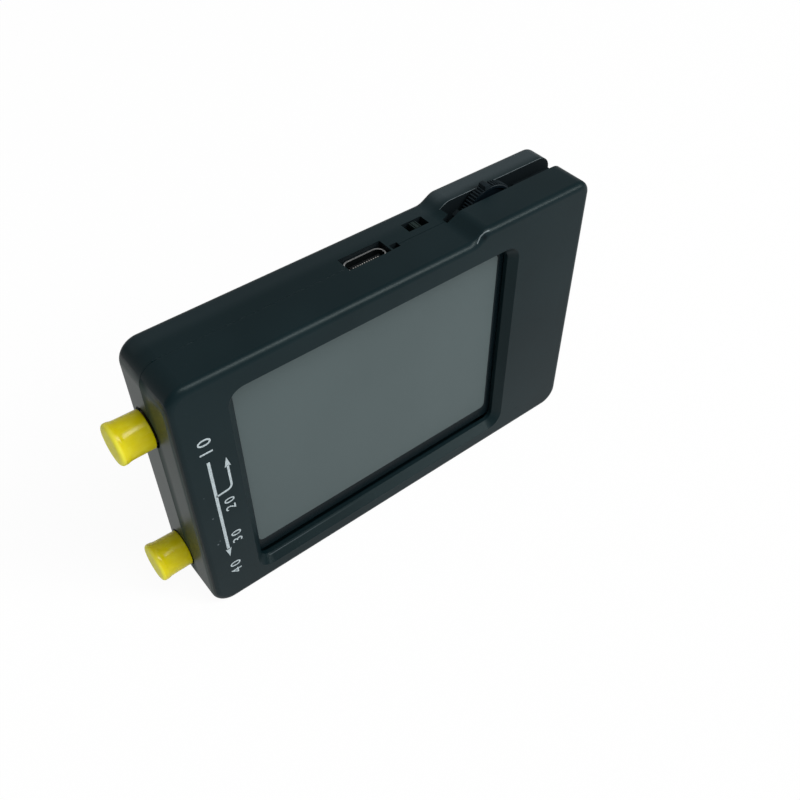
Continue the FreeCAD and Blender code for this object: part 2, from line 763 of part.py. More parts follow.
def make_port(name, height):
    """One edge-mounted coaxial connector: threaded body, insulator and centre contact."""
    body = new_piece(f"rf_connector_{name}")
    half = "port_flange_side / 2"
    rod(body, ("barrel_tip", "port_axis", height), "x", "port_flange_front - barrel_tip", "thread_radius")
    tip = value("barrel_tip")
    finish_edges(body, "Chamfer", lambda edge: abs(edge.BoundBox.XMax - tip) < NEAR, Size="barrel_edge")
    block(body, ("port_flange_front", f"port_axis - {half}", f"{height} - {half}"),
          ("board_low", f"port_axis + {half}", f"{height} + {half}"))
    for near, far in ((f"port_axis - {half}", "board_front"), ("board_back", f"port_axis + {half}")):
        for low in (f"{height} - {half}", f"{height} + {half} - port_leg_width"):
            block(body, ("board_low - port_flange_thickness / 2", near, low),
                  ("board_low + port_leg_length", far, f"{low} + port_leg_width"))
    rod(body, ("barrel_tip - past", "port_axis", height), "x", "board_low - barrel_tip + 2 * past",
        "port_bore_radius", removes=True)
    insulator = new_piece(f"rf_insulator_{name}")
    start = "barrel_tip + insulator_recess"
    rod(insulator, (start, "port_axis", height), "x", f"board_low - ({start})",
        "port_bore_radius - insulator_gap")
    rod(insulator, (f"{start} - past", "port_axis", height), "x", f"board_low - ({start}) + 2 * past",
        "contact_radius + insulator_gap", removes=True)
    contact = new_piece(f"rf_contact_{name}")
    start = "barrel_tip + contact_recess"
    rod(contact, (start, "port_axis", height), "x", f"board_low + contact_tail - ({start})", "contact_radius")
    rod(contact, (f"{start} - past", "port_axis", height), "x", "contact_socket_depth + past",
        "contact_socket_radius", removes=True)


def make_dust_cap(name, height, gap):
    """Moulded push-on cap, modelled mouth down and laid along the port."""
    cap = new_piece(f"dust_cap_{name}")
    bore = "thread_radius + cap_fit"
    rim_low = "cap_length - cap_rim_length"
    turned(cap, [(bore, "0"), ("cap_radius", "0"), ("cap_radius", rim_low),
                 ("cap_rim_radius", rim_low), ("cap_rim_radius", "cap_length"), ("0", "cap_length"),
                 ("0", "cap_length - cap_end_wall"), (bore, "cap_length - cap_end_wall")])
    top = value("cap_length")

    def closed_end(edge):
        return edge.Curve.TypeId == "Part::GeomCircle" and abs(edge.BoundBox.ZMin - top) < NEAR
    finish_edges(cap, "Chamfer", closed_end, Size="cap_bevel")
    cap.Placement = Placement(Vector(), TURNS["-x"])
    bind(cap, x=f"barrel_tip - {gap} - cap_end_wall + cap_length", y="port_axis", z=height)


def stadium(piece, inset, low, high, removes=False):
    """A flat bar with round ends, the section of the charging socket, standing up."""
    half = f"(socket_width / 2 - socket_thickness / 2)"
    radius = f"socket_thickness / 2 - ({inset})"
    block(piece, (f"socket_middle - {half}", f"socket_axis - ({radius})", low),
          (f"socket_middle + {half}", f"socket_axis + ({radius})", high), removes)
    for side in "-+":
        rod(piece, (f"socket_middle {side} {half}", "socket_axis", low), "z", f"({high}) - ({low})", radius,
            removes)


def make_charging_socket():
    """Charging socket: rolled metal shell, insulating tongue and its two rows of contacts."""
    shell = new_piece("socket_shell")
    bottom = "socket_mouth - socket_length"
    stadium(shell, "0", bottom, "socket_mouth")
    stadium(shell, "socket_sheet", f"{bottom} - past", "socket_mouth + past", removes=True)
    tongue = new_piece("socket_tongue")
    stadium(tongue, "socket_sheet + socket_fit", bottom, f"{bottom} + socket_block_height")
    tip = "socket_mouth - socket_tongue_recess"
    contact_tip = f"{tip} - socket_contact_setback"
    half_width, half_thickness = "socket_tongue_width / 2", "socket_tongue_thickness / 2"
    block(tongue, (f"socket_middle - {half_width}", f"socket_axis - {half_thickness}", bottom),
          (f"socket_middle + {half_width}", f"socket_axis + {half_thickness}", tip))
    contacts = []
    count = int(value("socket_contact_rows"))
    for number in range(count):
        middle = f"(socket_middle + {number - (count - 1) / 2} * socket_contact_spacing)"
        for side in "-+":
            face = f"(socket_axis {side} ({half_thickness} + socket_contact_height / 2))"
            low = (f"{middle} - socket_contact_width / 2", f"{face} - socket_contact_height / 2",
                   f"{contact_tip} - socket_contact_length")
            high = (f"{middle} + socket_contact_width / 2", f"{face} + socket_contact_height / 2",
                    contact_tip)
            contacts.append(loose_box(low, high))
    group("socket_contacts", contacts)


def make_power_switch():
    """Slide switch set into the board's edge, with its knob in the slot of the back half."""
    body = new_piece("power_switch_body")
    half_length, half_thickness = "switch_body_length / 2", "switch_body_thickness / 2"
    low = "switch_top - switch_body_height"
    block(body, (f"switch_middle - {half_length}", f"switch_axis - {half_thickness}", low),
          (f"switch_middle + {half_length}", f"switch_axis + {half_thickness}", "switch_top"))
    half_run = "(knob_length / 2 + knob_travel + knob_gap)"
    half_width = "(knob_thickness / 2 + knob_gap)"
    block(body, (f"switch_middle - {half_run}", f"switch_axis - {half_width}",
                 "switch_top - knob_root - knob_gap"),
          (f"switch_middle + {half_run}", f"switch_axis + {half_width}", "switch_top + past"), removes=True)
    knob = new_piece("power_switch_knob")
    near, far = "switch_axis - knob_thickness / 2", "switch_axis + knob_thickness / 2"
    block(knob, ("switch_middle - knob_length / 2", near, "switch_top - knob_root"),
          ("switch_middle + knob_length / 2", far, "knob_top"))
    for side in "-+":
        middle = f"switch_middle {side} knob_groove_spacing / 2"
        block(knob, (f"{middle} - knob_groove / 2", f"{near} - past", "knob_top - knob_groove"),
              (f"{middle} + knob_groove / 2", f"{far} + past", "knob_top + past"), removes=True)


def make_jog():
    """Jog switch: a knurled wheel that rocks on a pin, in a carrier that presses down onto a leaf."""
    base = new_piece("jog_base")
    half_base, half_cheek = "jog_base_length / 2", "jog_cheek_width / 2"
    block(base, (f"jog_middle - {half_base}", "jog_base_front", "jog_base_top - jog_base_height"),
          (f"jog_middle + {half_base}", "board_front", "jog_base_top"))
    block(base, (f"jog_middle - {half_cheek} - jog_guide_gap", "jog_cheek_front - jog_guide_gap",
                 "jog_well_floor"),
          (f"jog_middle + {half_cheek} + jog_guide_gap", "jog_cheek_back + jog_guide_gap",
           "jog_base_top + past"), removes=True)
    carrier = new_piece("jog_carrier")
    head = "(jog_pin_radius + jog_cheek_web)"
    top, bend = f"jog_height + {head}", "jog_base_top + jog_cheek_shoulder"
    slab(carrier, [(f"jog_middle - {half_cheek}", "jog_foot"), (f"jog_middle + {half_cheek}", "jog_foot"),
                   (f"jog_middle + {half_cheek}", bend), (f"jog_middle + {head}", top),
                   (f"jog_middle - {head}", top), (f"jog_middle - {half_cheek}", bend)],
         "jog_cheek_front", "jog_cheek_back")
    rod(carrier, ("jog_middle", "jog_cheek_front - past", "jog_height"), "y",
        "jog_cheek_thickness + 2 * past", "jog_pin_radius + jog_pin_fit", removes=True)
    pin = new_piece("jog_pivot_pin")
    rod(pin, ("jog_middle", "jog_cheek_front", "jog_height"), "y",
        "jog_back + jog_cheek_gap - jog_cheek_front", "jog_pin_radius")
    leaf = new_piece("jog_leaf_spring")
    half_leaf, crest = "jog_leaf_length / 2", "jog_leaf_crest / 2"
    top, sheet = "jog_well_floor + jog_leaf_rise", "jog_leaf_thickness"
    slab(leaf, [(f"jog_middle - {half_leaf}", "jog_well_floor"),
                (f"jog_middle - {half_leaf} + {sheet}", "jog_well_floor"),
                (f"jog_middle - {crest}", f"{top} - {sheet}"), (f"jog_middle + {crest}", f"{top} - {sheet}"),
                (f"jog_middle + {half_leaf} - {sheet}", "jog_well_floor"),
                (f"jog_middle + {half_leaf}", "jog_well_floor"),
                (f"jog_middle + {crest}", top), (f"jog_middle - {crest}", top)],
         "jog_cheek_front", "jog_cheek_back")
    make_jog_wheel()


def make_jog_wheel():
    """Wheel with a knurled rim, a dished face, a thumb nub and a bored hub."""
    wheel = new_piece("jog_wheel")
    half = "jog_thickness / 2"
    face = f"({half} - jog_face_dish)"
    bore = "jog_pin_radius + jog_pin_gap"
    inner = "jog_radius - jog_rim_width"
    upper = [("jog_radius", half), (inner, half), (inner, face), ("jog_hub_radius", face),
             ("jog_hub_radius", half), (bore, half)]
    lower = [(radius, f"-{level}") for radius, level in reversed(upper)]
    turned(wheel, lower + upper)
    root = "jog_radius - jog_notch_depth"
    notch = outline(wheel, "XY_Plane", [(root, "0"), ("jog_radius", "-jog_notch_width / 2"),
                                        ("jog_radius + past", "-jog_notch_width / 2"),
                                        ("jog_radius + past", "jog_notch_width / 2"),
                                        ("jog_radius", "jog_notch_width / 2")])
    cut = wheel.newObject("PartDesign::Pocket", "Notch")
    cut.Profile = notch
    cut.Midplane = True
    bind(cut, Length="2 * jog_thickness")
    doc.recompute()
    knurl = wheel.newObject("PartDesign::PolarPattern", "Knurl")
    knurl.Originals = [cut]
    knurl.Axis = (notch, ["N_Axis"])
    knurl.Angle = 360
    bind(knurl, Occurrences="jog_notch_count")
    wheel.Tip = knurl
    doc.recompute()
    nub_root, nub_top = f"{root} - jog_nub_root", "jog_radius + jog_nub_rise"
    nub = outline(wheel, "XY_Plane", [(nub_root, "-jog_nub_width / 2"), (nub_top, "-jog_nub_top / 2"),
                                      (nub_top, "jog_nub_top / 2"), (nub_root, "jog_nub_width / 2")])
    nub.AttachmentOffset = Placement(Vector(), Rotation(Vector(0, 0, 1), 90 + value("jog_nub_angle")))
    pad = wheel.newObject("PartDesign::Pad", "Nub")
    pad.Profile = nub
    pad.Midplane = True
    bind(pad, Length="jog_thickness")
    wheel.Placement = Placement(Vector(), TURNS["-y"])
    bind(wheel, x="jog_middle", y="jog_axis", z="jog_height")
    doc.recompute()


def lead(points, radius):
    """A round wire along straight runs, mitred where they meet."""
    corners = [Vector(*point) for point in points]
    path = Part.Wire([Part.LineSegment(*run).toShape() for run in zip(corners, corners[1:])])
    ring = Part.Wire(Part.makeCircle(radius, corners[0], corners[1] - corners[0]))
    return path.makePipeShell([ring], True, True, MITRED)


def make_battery():
    """Flat battery pouch taped to the board, its protection strip, lead, plug and socket."""
    cell = new_piece("battery_cell")
    block(cell, ("battery_low", "battery_front", "battery_sill"),
          ("battery_high", "battery_back", "battery_top"))
    low, high = value("battery_low"), value("battery_high")

    def side_edges(edge):
        box = edge.BoundBox
        upright = box.ZLength > NEAR and box.XLength < NEAR and box.YLength < NEAR
        return upright and (abs(box.XMin - low) < NEAR or abs(box.XMin - high) < NEAR)
    finish_edges(cell, "Fillet", side_edges, Radius="battery_edge")
    tape = new_piece("battery_tape")
    block(tape, ("battery_low + battery_tape_margin", "battery_back", "battery_sill + battery_tape_margin"),
          ("battery_high - battery_tape_margin", "board_front", "battery_top - battery_tape_margin"))
    guard = new_piece("battery_guard")
    middle = "(battery_front + battery_back) / 2"
    block(guard, ("guard_low", f"{middle} - guard_thickness / 2", "battery_top"),
          ("guard_low + guard_length", f"{middle} + guard_thickness / 2", "guard_top"))
    socket = new_piece("battery_socket")
    wall = "battery_socket_wall"
    block(socket, ("plug_low", "board_front - battery_socket_thickness", "plug_mouth"),
          ("plug_low + plug_length", "board_front", "battery_socket_top"))
    front = f"board_front - battery_socket_thickness + {wall}"
    block(socket, (f"plug_low + {wall}", front, "plug_mouth - past"),
          (f"plug_low + plug_length - {wall}", f"board_front - {wall}", f"battery_socket_top - {wall}"),
          removes=True)
    plug = new_piece("battery_plug")
    block(plug, (f"plug_low + {wall} + plug_gap", f"{front} + plug_gap", "plug_bottom"),
          (f"plug_low + plug_length - {wall} - plug_gap", f"board_front - {wall} - plug_gap",
           f"battery_socket_top - {wall} - plug_gap"))
    leads = doc.addObject("Part::Feature", "Piece_battery_leads")
    leads.Label = "battery_leads"
    plug_middle = value("plug_low + plug_length / 2")
    plug_depth = value("board_front - battery_socket_thickness / 2")
    guard_depth = value(middle)
    top, bottom, straight = value("plug_bottom"), value("guard_top"), value("lead_straight")
    wires = []
    for shift in (-value("lead_spacing") / 2, value("lead_spacing") / 2):
        x = plug_middle + shift
        route = [(x, guard_depth, bottom), (x, guard_depth, bottom + straight),
                 (x, plug_depth, top - straight), (x, plug_depth, top)]
        wires.append(lead(route, value("lead_radius")))
    leads.Shape = Part.makeCompound(wires)
    leads.Placement = Placement()
    pieces.append(leads)


def chip(label, name):
    """A moulded chip on the board's back, its outer edges bevelled."""
    body = new_piece(label)
    low, sill = f"left + {name}_left", f"{name}_sill"
    block(body, (low, "board_back", sill),
          (f"{low} + {name}_side", f"board_back + {name}_rise", f"{sill} + {name}_side"))
    top = value(f"board_back + {name}_rise")
    finish_edges(body, "Chamfer", lambda edge: abs(edge.BoundBox.YMin - top) < NEAR, Size="chip_bevel")


def row_of(label, name):
    """A row of equal two-ended parts on the board's back."""
    members = []
    for number in range(ROW_COUNT):
        low, sill = f"left + {name}_left + {number} * {name}_spacing", f"{name}_sill"
        high = (f"{low} + {name}_length", f"board_back + {name}_rise", f"{sill} + {name}_width")
        members.append(loose_box((low, "board_back", sill), high))
    group(label, members)


def shield_can(label, sill):
    """A drawn metal lid over one signal circuit, open towards the board."""
    can = new_piece(label)
    high = ("can_low + can_length", f"{sill} + can_width")
    corners = rectangle(("can_low", sill), high, "can_corner_radius")
    slab(can, corners, "board_back", "board_back + can_rise")
    block(can, ("can_low + can_sheet", "board_back - past", f"{sill} + can_sheet"),
          ("can_low + can_length - can_sheet", "board_back + can_rise - can_sheet",
           f"{sill} + can_width - can_sheet"), removes=True)


def make_electronics():
    """What is soldered to the board's back, and the two lights on its front edge."""
    shield_can("shield_can_upper", "upper_can_sill")
    shield_can("shield_can_lower", "lower_can_sill")
    for label, name in CHIPS.items():
        chip(label, name)
    mixers = []
    for sill in ("upper_can_sill", "lower_can_sill"):
        up = f"{sill} + (can_width - mixer_height) / 2"
        for across in ("can_low + mixer_margin", "can_low + can_length - mixer_margin - mixer_length"):
            high = (f"{across} + mixer_length", "board_back + mixer_rise", f"{up} + mixer_height")
            mixers.append(loose_box((across, "board_back", up), high))
    group("mixer_chips", mixers)
    row_of("board_capacitors", "capacitor")
    row_of("board_resistors", "resistor")
    for label, middle in LIGHTS.items():
        light = new_piece(label)
        block(light, (f"{middle} - light_length / 2", "board_front - light_height",
                      "board_top - light_drop - light_side"),
              (f"{middle} + light_length / 2", "board_front", "board_top - light_drop"))


def export():
    """Stop on any failed object or bad shape, then write one file for each piece."""
    doc.recompute()
    failed = [item.Label for item in doc.Objects if "Invalid" in item.State or "Error" in item.State]
    if failed:
        raise RuntimeError(f"failed objects: {failed}")
    for piece in pieces:
        if piece.Shape.isNull() or not piece.Shape.isValid() or not piece.Shape.Solids:
            raise RuntimeError(f"bad shape: {piece.Label}")
    os.makedirs("parts", exist_ok=True)
    for piece in pieces:
        piece.Shape.exportStep(f"parts/{piece.Label}.step")
        print(piece.Label, len(piece.Shape.Solids), round(piece.Shape.Volume, 2))


sizes, places = fill_sheets()
make_front_shell()
make_back_shell()
make_screws()
make_display()
make_ribbon()
make_board()
for port, (port_height, cap_gap) in PORTS.items():
    make_port(port, port_height)
    make_dust_cap(port, port_height, cap_gap)
make_charging_socket()
make_power_switch()
make_jog()
make_battery()
make_electronics()
export()
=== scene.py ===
"""Pocket antenna analyzer: its finishes, printed marks and fine metalwork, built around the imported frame.

Sizes are millimetres in the frame of the part: the screen faces -Y, the two signal ports leave the left
end (-X) and the socket, switch and jog wheel are on the top (+Z). Meshes are scaled to metres when made.
"""

from __future__ import annotations

import logging
import math
from dataclasses import dataclass, field
from enum import Enum
from typing import Callable, Iterable, Sequence

import bmesh
import bpy
from mathutils import Matrix, Vector


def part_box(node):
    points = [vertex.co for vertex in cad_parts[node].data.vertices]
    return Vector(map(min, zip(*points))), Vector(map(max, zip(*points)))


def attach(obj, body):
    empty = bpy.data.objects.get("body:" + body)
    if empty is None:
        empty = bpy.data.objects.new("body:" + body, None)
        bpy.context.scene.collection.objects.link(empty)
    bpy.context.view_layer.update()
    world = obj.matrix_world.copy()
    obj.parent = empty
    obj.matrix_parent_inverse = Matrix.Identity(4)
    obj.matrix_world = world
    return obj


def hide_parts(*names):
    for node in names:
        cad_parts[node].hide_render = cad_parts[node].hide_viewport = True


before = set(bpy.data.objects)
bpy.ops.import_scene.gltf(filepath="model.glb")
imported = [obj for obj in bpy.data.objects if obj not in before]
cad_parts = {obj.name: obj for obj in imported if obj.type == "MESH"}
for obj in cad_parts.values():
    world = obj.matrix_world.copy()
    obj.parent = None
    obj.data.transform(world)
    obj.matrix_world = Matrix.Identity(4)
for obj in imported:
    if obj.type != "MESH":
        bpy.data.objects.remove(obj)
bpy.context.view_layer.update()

MM = 0.001
Colour = tuple[float, float, float]
Point = tuple[float, float, float]
Pair = tuple[float, float]
Quad = tuple[float, float, float, float]
Look = dict[str, object]
Skin = tuple["Wire", "Wire", "Wire"]
Material = bpy.types.Material
Thing = bpy.types.Object
Shape = bmesh.types.BMesh
WHITE = (1.0, 1.0, 1.0)
SQUARE = ((1, 1), (1, -1), (-1, -1), (-1, 1))
log = logging.getLogger("analyzer")
DRESSED: set[str] = set()


class Axis(Enum):
    """The frame's three directions, as the index of each in a point."""

    X = 0
    Y = 1
    Z = 2


class Port(Enum):
    """The two signal ports."""

    UPPER = "upper"
    LOWER = "lower"


# ---------------------------------------------------------------- shader and geometry node trees


def _maths(operation: str, swapped: bool = False) -> Callable[..., Wire]:
    """Make a method of Wire that adds one Math node.

    Args:
        operation: what the node does.
        swapped: the wire itself is the last term and not the first.

    Returns:
        The method.
    """
    def method(self: Wire, *others: Wire | float) -> Wire:
        """Add the node on this wire and the other terms."""
        terms = (*others, self) if swapped else (self, *others)
        return self.tree.add("ShaderNodeMath", {"operation": operation}, dict(enumerate(terms)))
    return method


class Wire:
    """An output socket that takes part in arithmetic and comparisons by adding Math nodes."""

    __add__ = __radd__ = _maths("ADD")
    __sub__ = _maths("SUBTRACT")
    __rsub__ = _maths("SUBTRACT", swapped=True)
    __mul__ = __rmul__ = _maths("MULTIPLY")
    __pow__ = _maths("POWER")
    __gt__ = _maths("GREATER_THAN")
    __lt__ = _maths("LESS_THAN")
    __abs__ = _maths("ABSOLUTE")
    least = _maths("MINIMUM")
    most = _maths("MAXIMUM")
    modulo = _maths("FLOORED_MODULO")

    def __init__(self, tree: Tree, socket: bpy.types.NodeSocket) -> None:
        """Keep the tree and the socket."""
        self.tree = tree
        self.socket = socket

    def rise(self, start: float, end: float) -> Wire:
        """Smooth step from 0 at the start to 1 at the end."""
        return self.tree.add("ShaderNodeMapRange", {"interpolation_type": "SMOOTHSTEP"},
                             {"Value": self, "From Min": start, "From Max": end})

    def part(self, name: str) -> Wire:
        """Another output of the same node."""
        return Wire(self.tree, self.socket.node.outputs[name])


class Tree:
    """A node tree and the one method that makes its nodes."""

    def __init__(self, tree: bpy.types.NodeTree) -> None:
        """Keep the tree."""
        self.tree = tree

    @staticmethod
    def _socket(sockets: Iterable[bpy.types.NodeSocket], key: str | int) -> bpy.types.NodeSocket:
        """Find a socket by its place, its identifier or its name, in that order."""
        if isinstance(key, int):
            return sockets[key]
        exact = [socket for socket in sockets if socket.identifier == key]
        return (exact or [socket for socket in sockets if socket.name == key and socket.enabled])[0]

    def add(self, kind: str, settings: dict | None = None, inputs: dict | None = None, out: str | int = 0) -> Wire:
        """Make a node.

        Args:
            kind: the node's type name.
            settings: properties that are set first; a ramp's stops go under "stops".
            inputs: values or wires for its sockets, by place, identifier or name.
            out: the output that is returned.

        Returns:
            A wire from that output.
        """
        node = self.tree.nodes.new(kind)
        for name, value in (settings or {}).items():
            if name == "stops":
                self._set_stops(node.color_ramp, value)
            else:
                setattr(node, name, value)
        for key, value in (inputs or {}).items():
            socket = self._socket(node.inputs, key)
            if isinstance(value, Wire):
                self.tree.links.new(value.socket, socket)
            elif isinstance(value, (tuple, list)) and socket.type == "RGBA" and len(value) == 3:
                socket.default_value = (*value, 1.0)
            else:
                socket.default_value = value
        return Wire(self, self._socket(node.outputs, out))

    @staticmethod
    def _set_stops(ramp: bpy.types.ColorRamp, stops: Sequence[tuple[float, Colour]]) -> None:
        """Give a ramp its stops in order."""
        while len(ramp.elements) < len(stops):
            ramp.elements.new(1.0)
        for element, (place, colour) in zip(ramp.elements, stops):
            element.position = place
            element.color = (*colour, 1.0)


class Graph(Tree):
    """A material's shader tree, measured in millimetres of object space."""

    def __init__(self, name: str) -> None:
        """Start an empty material."""
        self.material = bpy.data.materials.new(name)
        self.material.use_nodes = True
        super().__init__(self.material.node_tree)
        self.tree.nodes.clear()
        raw = self.add("ShaderNodeTexCoord", out="Object")
        self.place = self.add("ShaderNodeVectorMath", {"operation": "SCALE"}, {"Vector": raw, "Scale": 1 / MM},
                              out="Vector")

    def along(self, axis: Axis) -> Wire:
        """The millimetres along one direction."""
        return self.add("ShaderNodeSeparateXYZ", inputs={"Vector": self.place}, out=axis.value)

    def stretched(self, scale: Point) -> Wire:
        """The place with each direction scaled by its own factor."""
        return self.add("ShaderNodeVectorMath", {"operation": "MULTIPLY"}, {0: self.place, 1: scale})

    def noise(self, size: float, detail: float = 3.0, place: Wire | None = None) -> Wire:
        """Soft random variation from 0 to 1, with lumps of a size in millimetres."""
        return self.add("ShaderNodeTexNoise", {}, {"Vector": place or self.place, "Scale": 1 / size,
                                                   "Detail": detail, "Roughness": 0.55})

    def cells(self, size: float, feature: str = "F1", place: Wire | None = None) -> Wire:
        """Distance to scattered points that lie about a size apart."""
        return self.add("ShaderNodeTexVoronoi", {"feature": feature},
                        {"Vector": place or self.place, "Scale": 1 / size}, out="Distance")

    def mix(self, factor: Wire | float, base: Wire | Colour, over: Wire | Colour) -> Wire:
        """Blend two colours."""
        return self.add("ShaderNodeMix", {"data_type": "RGBA"},
                        {"Factor_Float": factor, "A_Color": base, "B_Color": over}, out="Result_Color")

    def bump(self, height: Wire, depth: float, normal: Wire | None = None) -> Wire:
        """A normal tilted by a height field whose full swing is a depth in millimetres."""
        inputs = {"Height": height, "Distance": depth * MM, "Strength": 1.0}
        if normal is not None:
            inputs["Normal"] = normal
        return self.add("ShaderNodeBump", {}, inputs)

    def finish(self, look: Look) -> Material:
        """Close the material with a Principled shader that has these inputs."""
        self.add_output(self.add("ShaderNodeBsdfPrincipled", {}, look))
        return self.material

    def add_output(self, shader: Wire) -> None:
        """Send a shader to the surface."""
        output = self.tree.nodes.new("ShaderNodeOutputMaterial")
        self.tree.links.new(shader.socket, output.inputs["Surface"])


class Recipe(Tree):
    """A Geometry Nodes tree with named inputs for its sizes."""

    KINDS = {float: "NodeSocketFloat", int: "NodeSocketInt", Thing: "NodeSocketObject",
             Material: "NodeSocketMaterial"}

    def __init__(self, name: str, **sizes: float | int | Thing | Material) -> None:
        """Start a tree whose inputs are the sizes, which also are what it is run with."""
        super().__init__(bpy.data.node_groups.new(name, "GeometryNodeTree"))
        self.sizes = sizes
        self.tree.interface.new_socket("Geometry", in_out="INPUT", socket_type="NodeSocketGeometry")
        self.tree.interface.new_socket("Geometry", in_out="OUTPUT", socket_type="NodeSocketGeometry")
        for size, value in sizes.items():
            kind = next(kind for known, kind in self.KINDS.items() if isinstance(value, known))
            self.tree.interface.new_socket(size, in_out="INPUT", socket_type=kind)
        self.inlet = self.tree.nodes.new("NodeGroupInput")

    def __getitem__(self, name: str) -> Wire:
        """The wire from a named input."""
        return Wire(self, self.inlet.outputs[name])

    def joined(self, *parts: Wire) -> Wire:
        """The parts as one geometry."""
        whole = self.add("GeometryNodeJoinGeometry")
        for part in parts:
            self.tree.links.new(part.socket, whole.socket.node.inputs[0])
        return whole

    def shape_of(self, name: str) -> Wire:
        """The mesh of a named object input."""
        return self.add("GeometryNodeObjectInfo", {"transform_space": "ORIGINAL"}, {"Object": self[name]},
                        out="Geometry")

    def moved(self, geometry: Wire, shift: Point, turn: Point = (0.0, 0.0, 0.0)) -> Wire:
        """The geometry turned by radians, then shifted by metres."""
        return self.add("GeometryNodeTransform", {}, {"Geometry": geometry, "Translation": shift, "Rotation": turn})

    def copied(self, piece: Wire, points: Wire) -> Wire:
        """The piece once at each point."""
        return self.add("GeometryNodeInstanceOnPoints", {}, {"Points": points, "Instance": piece})

    def grow(self, name: str, geometry: Wire, smooth_below: float = 0.0) -> Thing:
        """Close the tree with Realize Instances and Set Material, run it and drop the objects it was made from.

        Args:
            name: the piece's name.
            geometry: the wire that carries the shape.
            smooth_below: edges that turn by fewer degrees are shaded smooth; zero leaves the shading alone.

        Returns:
            A plain mesh object at the origin, with the material of the input named Finish.
        """
        real = self.add("GeometryNodeRealizeInstances", {}, {"Geometry": geometry})
        coated = self.add("GeometryNodeSetMaterial", {}, {"Geometry": real, "Material": self["Finish"]})
        outlet = self.tree.nodes.new("NodeGroupOutput")
        self.tree.links.new(coated.socket, outlet.inputs["Geometry"])
        holder = new_object(name, bpy.data.meshes.new(name))
        modifier = holder.modifiers.new("Recipe", "NODES")
        modifier.node_group = self.tree
        for item in self.tree.interface.items_tree:
            if item.in_out == "INPUT" and item.name in self.sizes:
                modifier[item.identifier] = self.sizes[item.name]
        layers = bpy.context.evaluated_depsgraph_get()
        mesh = bpy.data.meshes.new_from_object(holder.evaluated_get(layers), depsgraph=layers)
        holder.modifiers.clear()
        mesh.materials.clear()
        mesh.materials.append(self.sizes["Finish"])
        holder.data = mesh
        if smooth_below:
            shade_by_angle(mesh, smooth_below)
        for value in self.sizes.values():
            if isinstance(value, Thing):
                bpy.data.objects.remove(value)
        return holder


# ---------------------------------------------------------------- meshes


def new_object(name: str, mesh: bpy.types.Mesh) -> Thing:
    """Link a mesh to the scene as an object at the origin."""
    thing = bpy.data.objects.new(name, mesh)
    bpy.context.scene.collection.objects.link(thing)
    return thing


def mark_smooth(shape: Shape, degrees: float) -> None:
    """Smooth the edges that turn by less than an angle and keep the rest sharp."""
    for edge in shape.edges:
        edge.smooth = len(edge.link_faces) == 2 and edge.calc_face_angle() < math.radians(degrees)


def shade_by_angle(mesh: bpy.types.Mesh, degrees: float) -> None:
    """Join a mesh's doubled corners and smooth its gentle edges."""
    shape = bmesh.new()
    shape.from_mesh(mesh)
    bmesh.ops.remove_doubles(shape, verts=shape.verts, dist=1e-8)
    mark_smooth(shape, degrees)
    for face in shape.faces:
        face.smooth = True
    shape.to_mesh(mesh)
    shape.free()


def from_bmesh(name: str, shape: Shape, smooth_below: float = 35.0) -> Thing:
    """Turn a shape drawn in millimetres into an object in metres.

    Args:
        name: the piece's name.
        shape: the shape, which is freed.
        smooth_below: edges that turn by fewer degrees than this are shaded smooth.

    Returns:
        The object.
    """
    bmesh.ops.remove_doubles(shape, verts=shape.verts, dist=1e-5)
    bmesh.ops.recalc_face_normals(shape, faces=shape.faces)
    bmesh.ops.scale(shape, vec=(MM, MM, MM), verts=shape.verts)
    mark_smooth(shape, smooth_below)
    mesh = bpy.data.meshes.new(name)
    shape.to_mesh(mesh)
    shape.free()
    mesh.shade_smooth()
    return new_object(name, mesh)


def loft(shape: Shape, rings: Sequence[Sequence[Point]], caps: bool = True) -> None:
    """Join closed rings of equal count with walls, and close both ends unless caps is off."""
    rows = [[shape.verts.new(point) for point in ring] for ring in rings]
    count = len(rows[0])
    for lower, upper in zip(rows, rows[1:]):
        for number in range(count):
            after = (number + 1) % count
            shape.faces.new((lower[number], lower[after], upper[after], upper[number]))
    if caps:
        shape.faces.new(reversed(rows[0]))
        shape.faces.new(rows[-1])


def lathe(profile: Sequence[Pair], centre: Point, axis: Axis, segments: int = 96) -> Shape:
    """Turn a closed profile of (radius, along) points about an axis.

    Args:
        profile: the section's corners; a radius of zero makes a pole.
        centre: where along is zero.
        axis: the direction of along.
        segments: steps round.

    Returns:
        The shape, in millimetres.
    """
    shape = bmesh.new()
    first, second = [other.value for other in Axis if other is not axis]
    rings = []
    for radius, along in profile:
        if radius == 0:
            point = list(centre)
            point[axis.value] += along
            rings.append([shape.verts.new(point)])
            continue
        ring = []
        for step in range(segments):
            angle = 2 * math.pi * step / segments
            point = list(centre)
            point[first] += radius * math.cos(angle)
            point[second] += radius * math.sin(angle)
            point[axis.value] += along
            ring.append(shape.verts.new(point))
        rings.append(ring)
    for one, other in zip(rings, rings[1:] + rings[:1]):
        if len(one) == 1 and len(other) == 1:
            continue
        for step in range(segments):
            after = (step + 1) % segments
            corners = [one[step % len(one)], one[after % len(one)], other[after % len(other)],
                       other[step % len(other)]]
            shape.faces.new(dict.fromkeys(corners))
    return shape


def arc(centre: Pair, radius: float, start: float, end: float, steps: int = 6) -> list[Pair]:
    """Points on an arc between two angles in degrees."""
    turn = [math.radians(start + (end - start) * step / steps) for step in range(steps + 1)]
    return [(centre[0] + radius * math.cos(angle), centre[1] + radius * math.sin(angle)) for angle in turn]


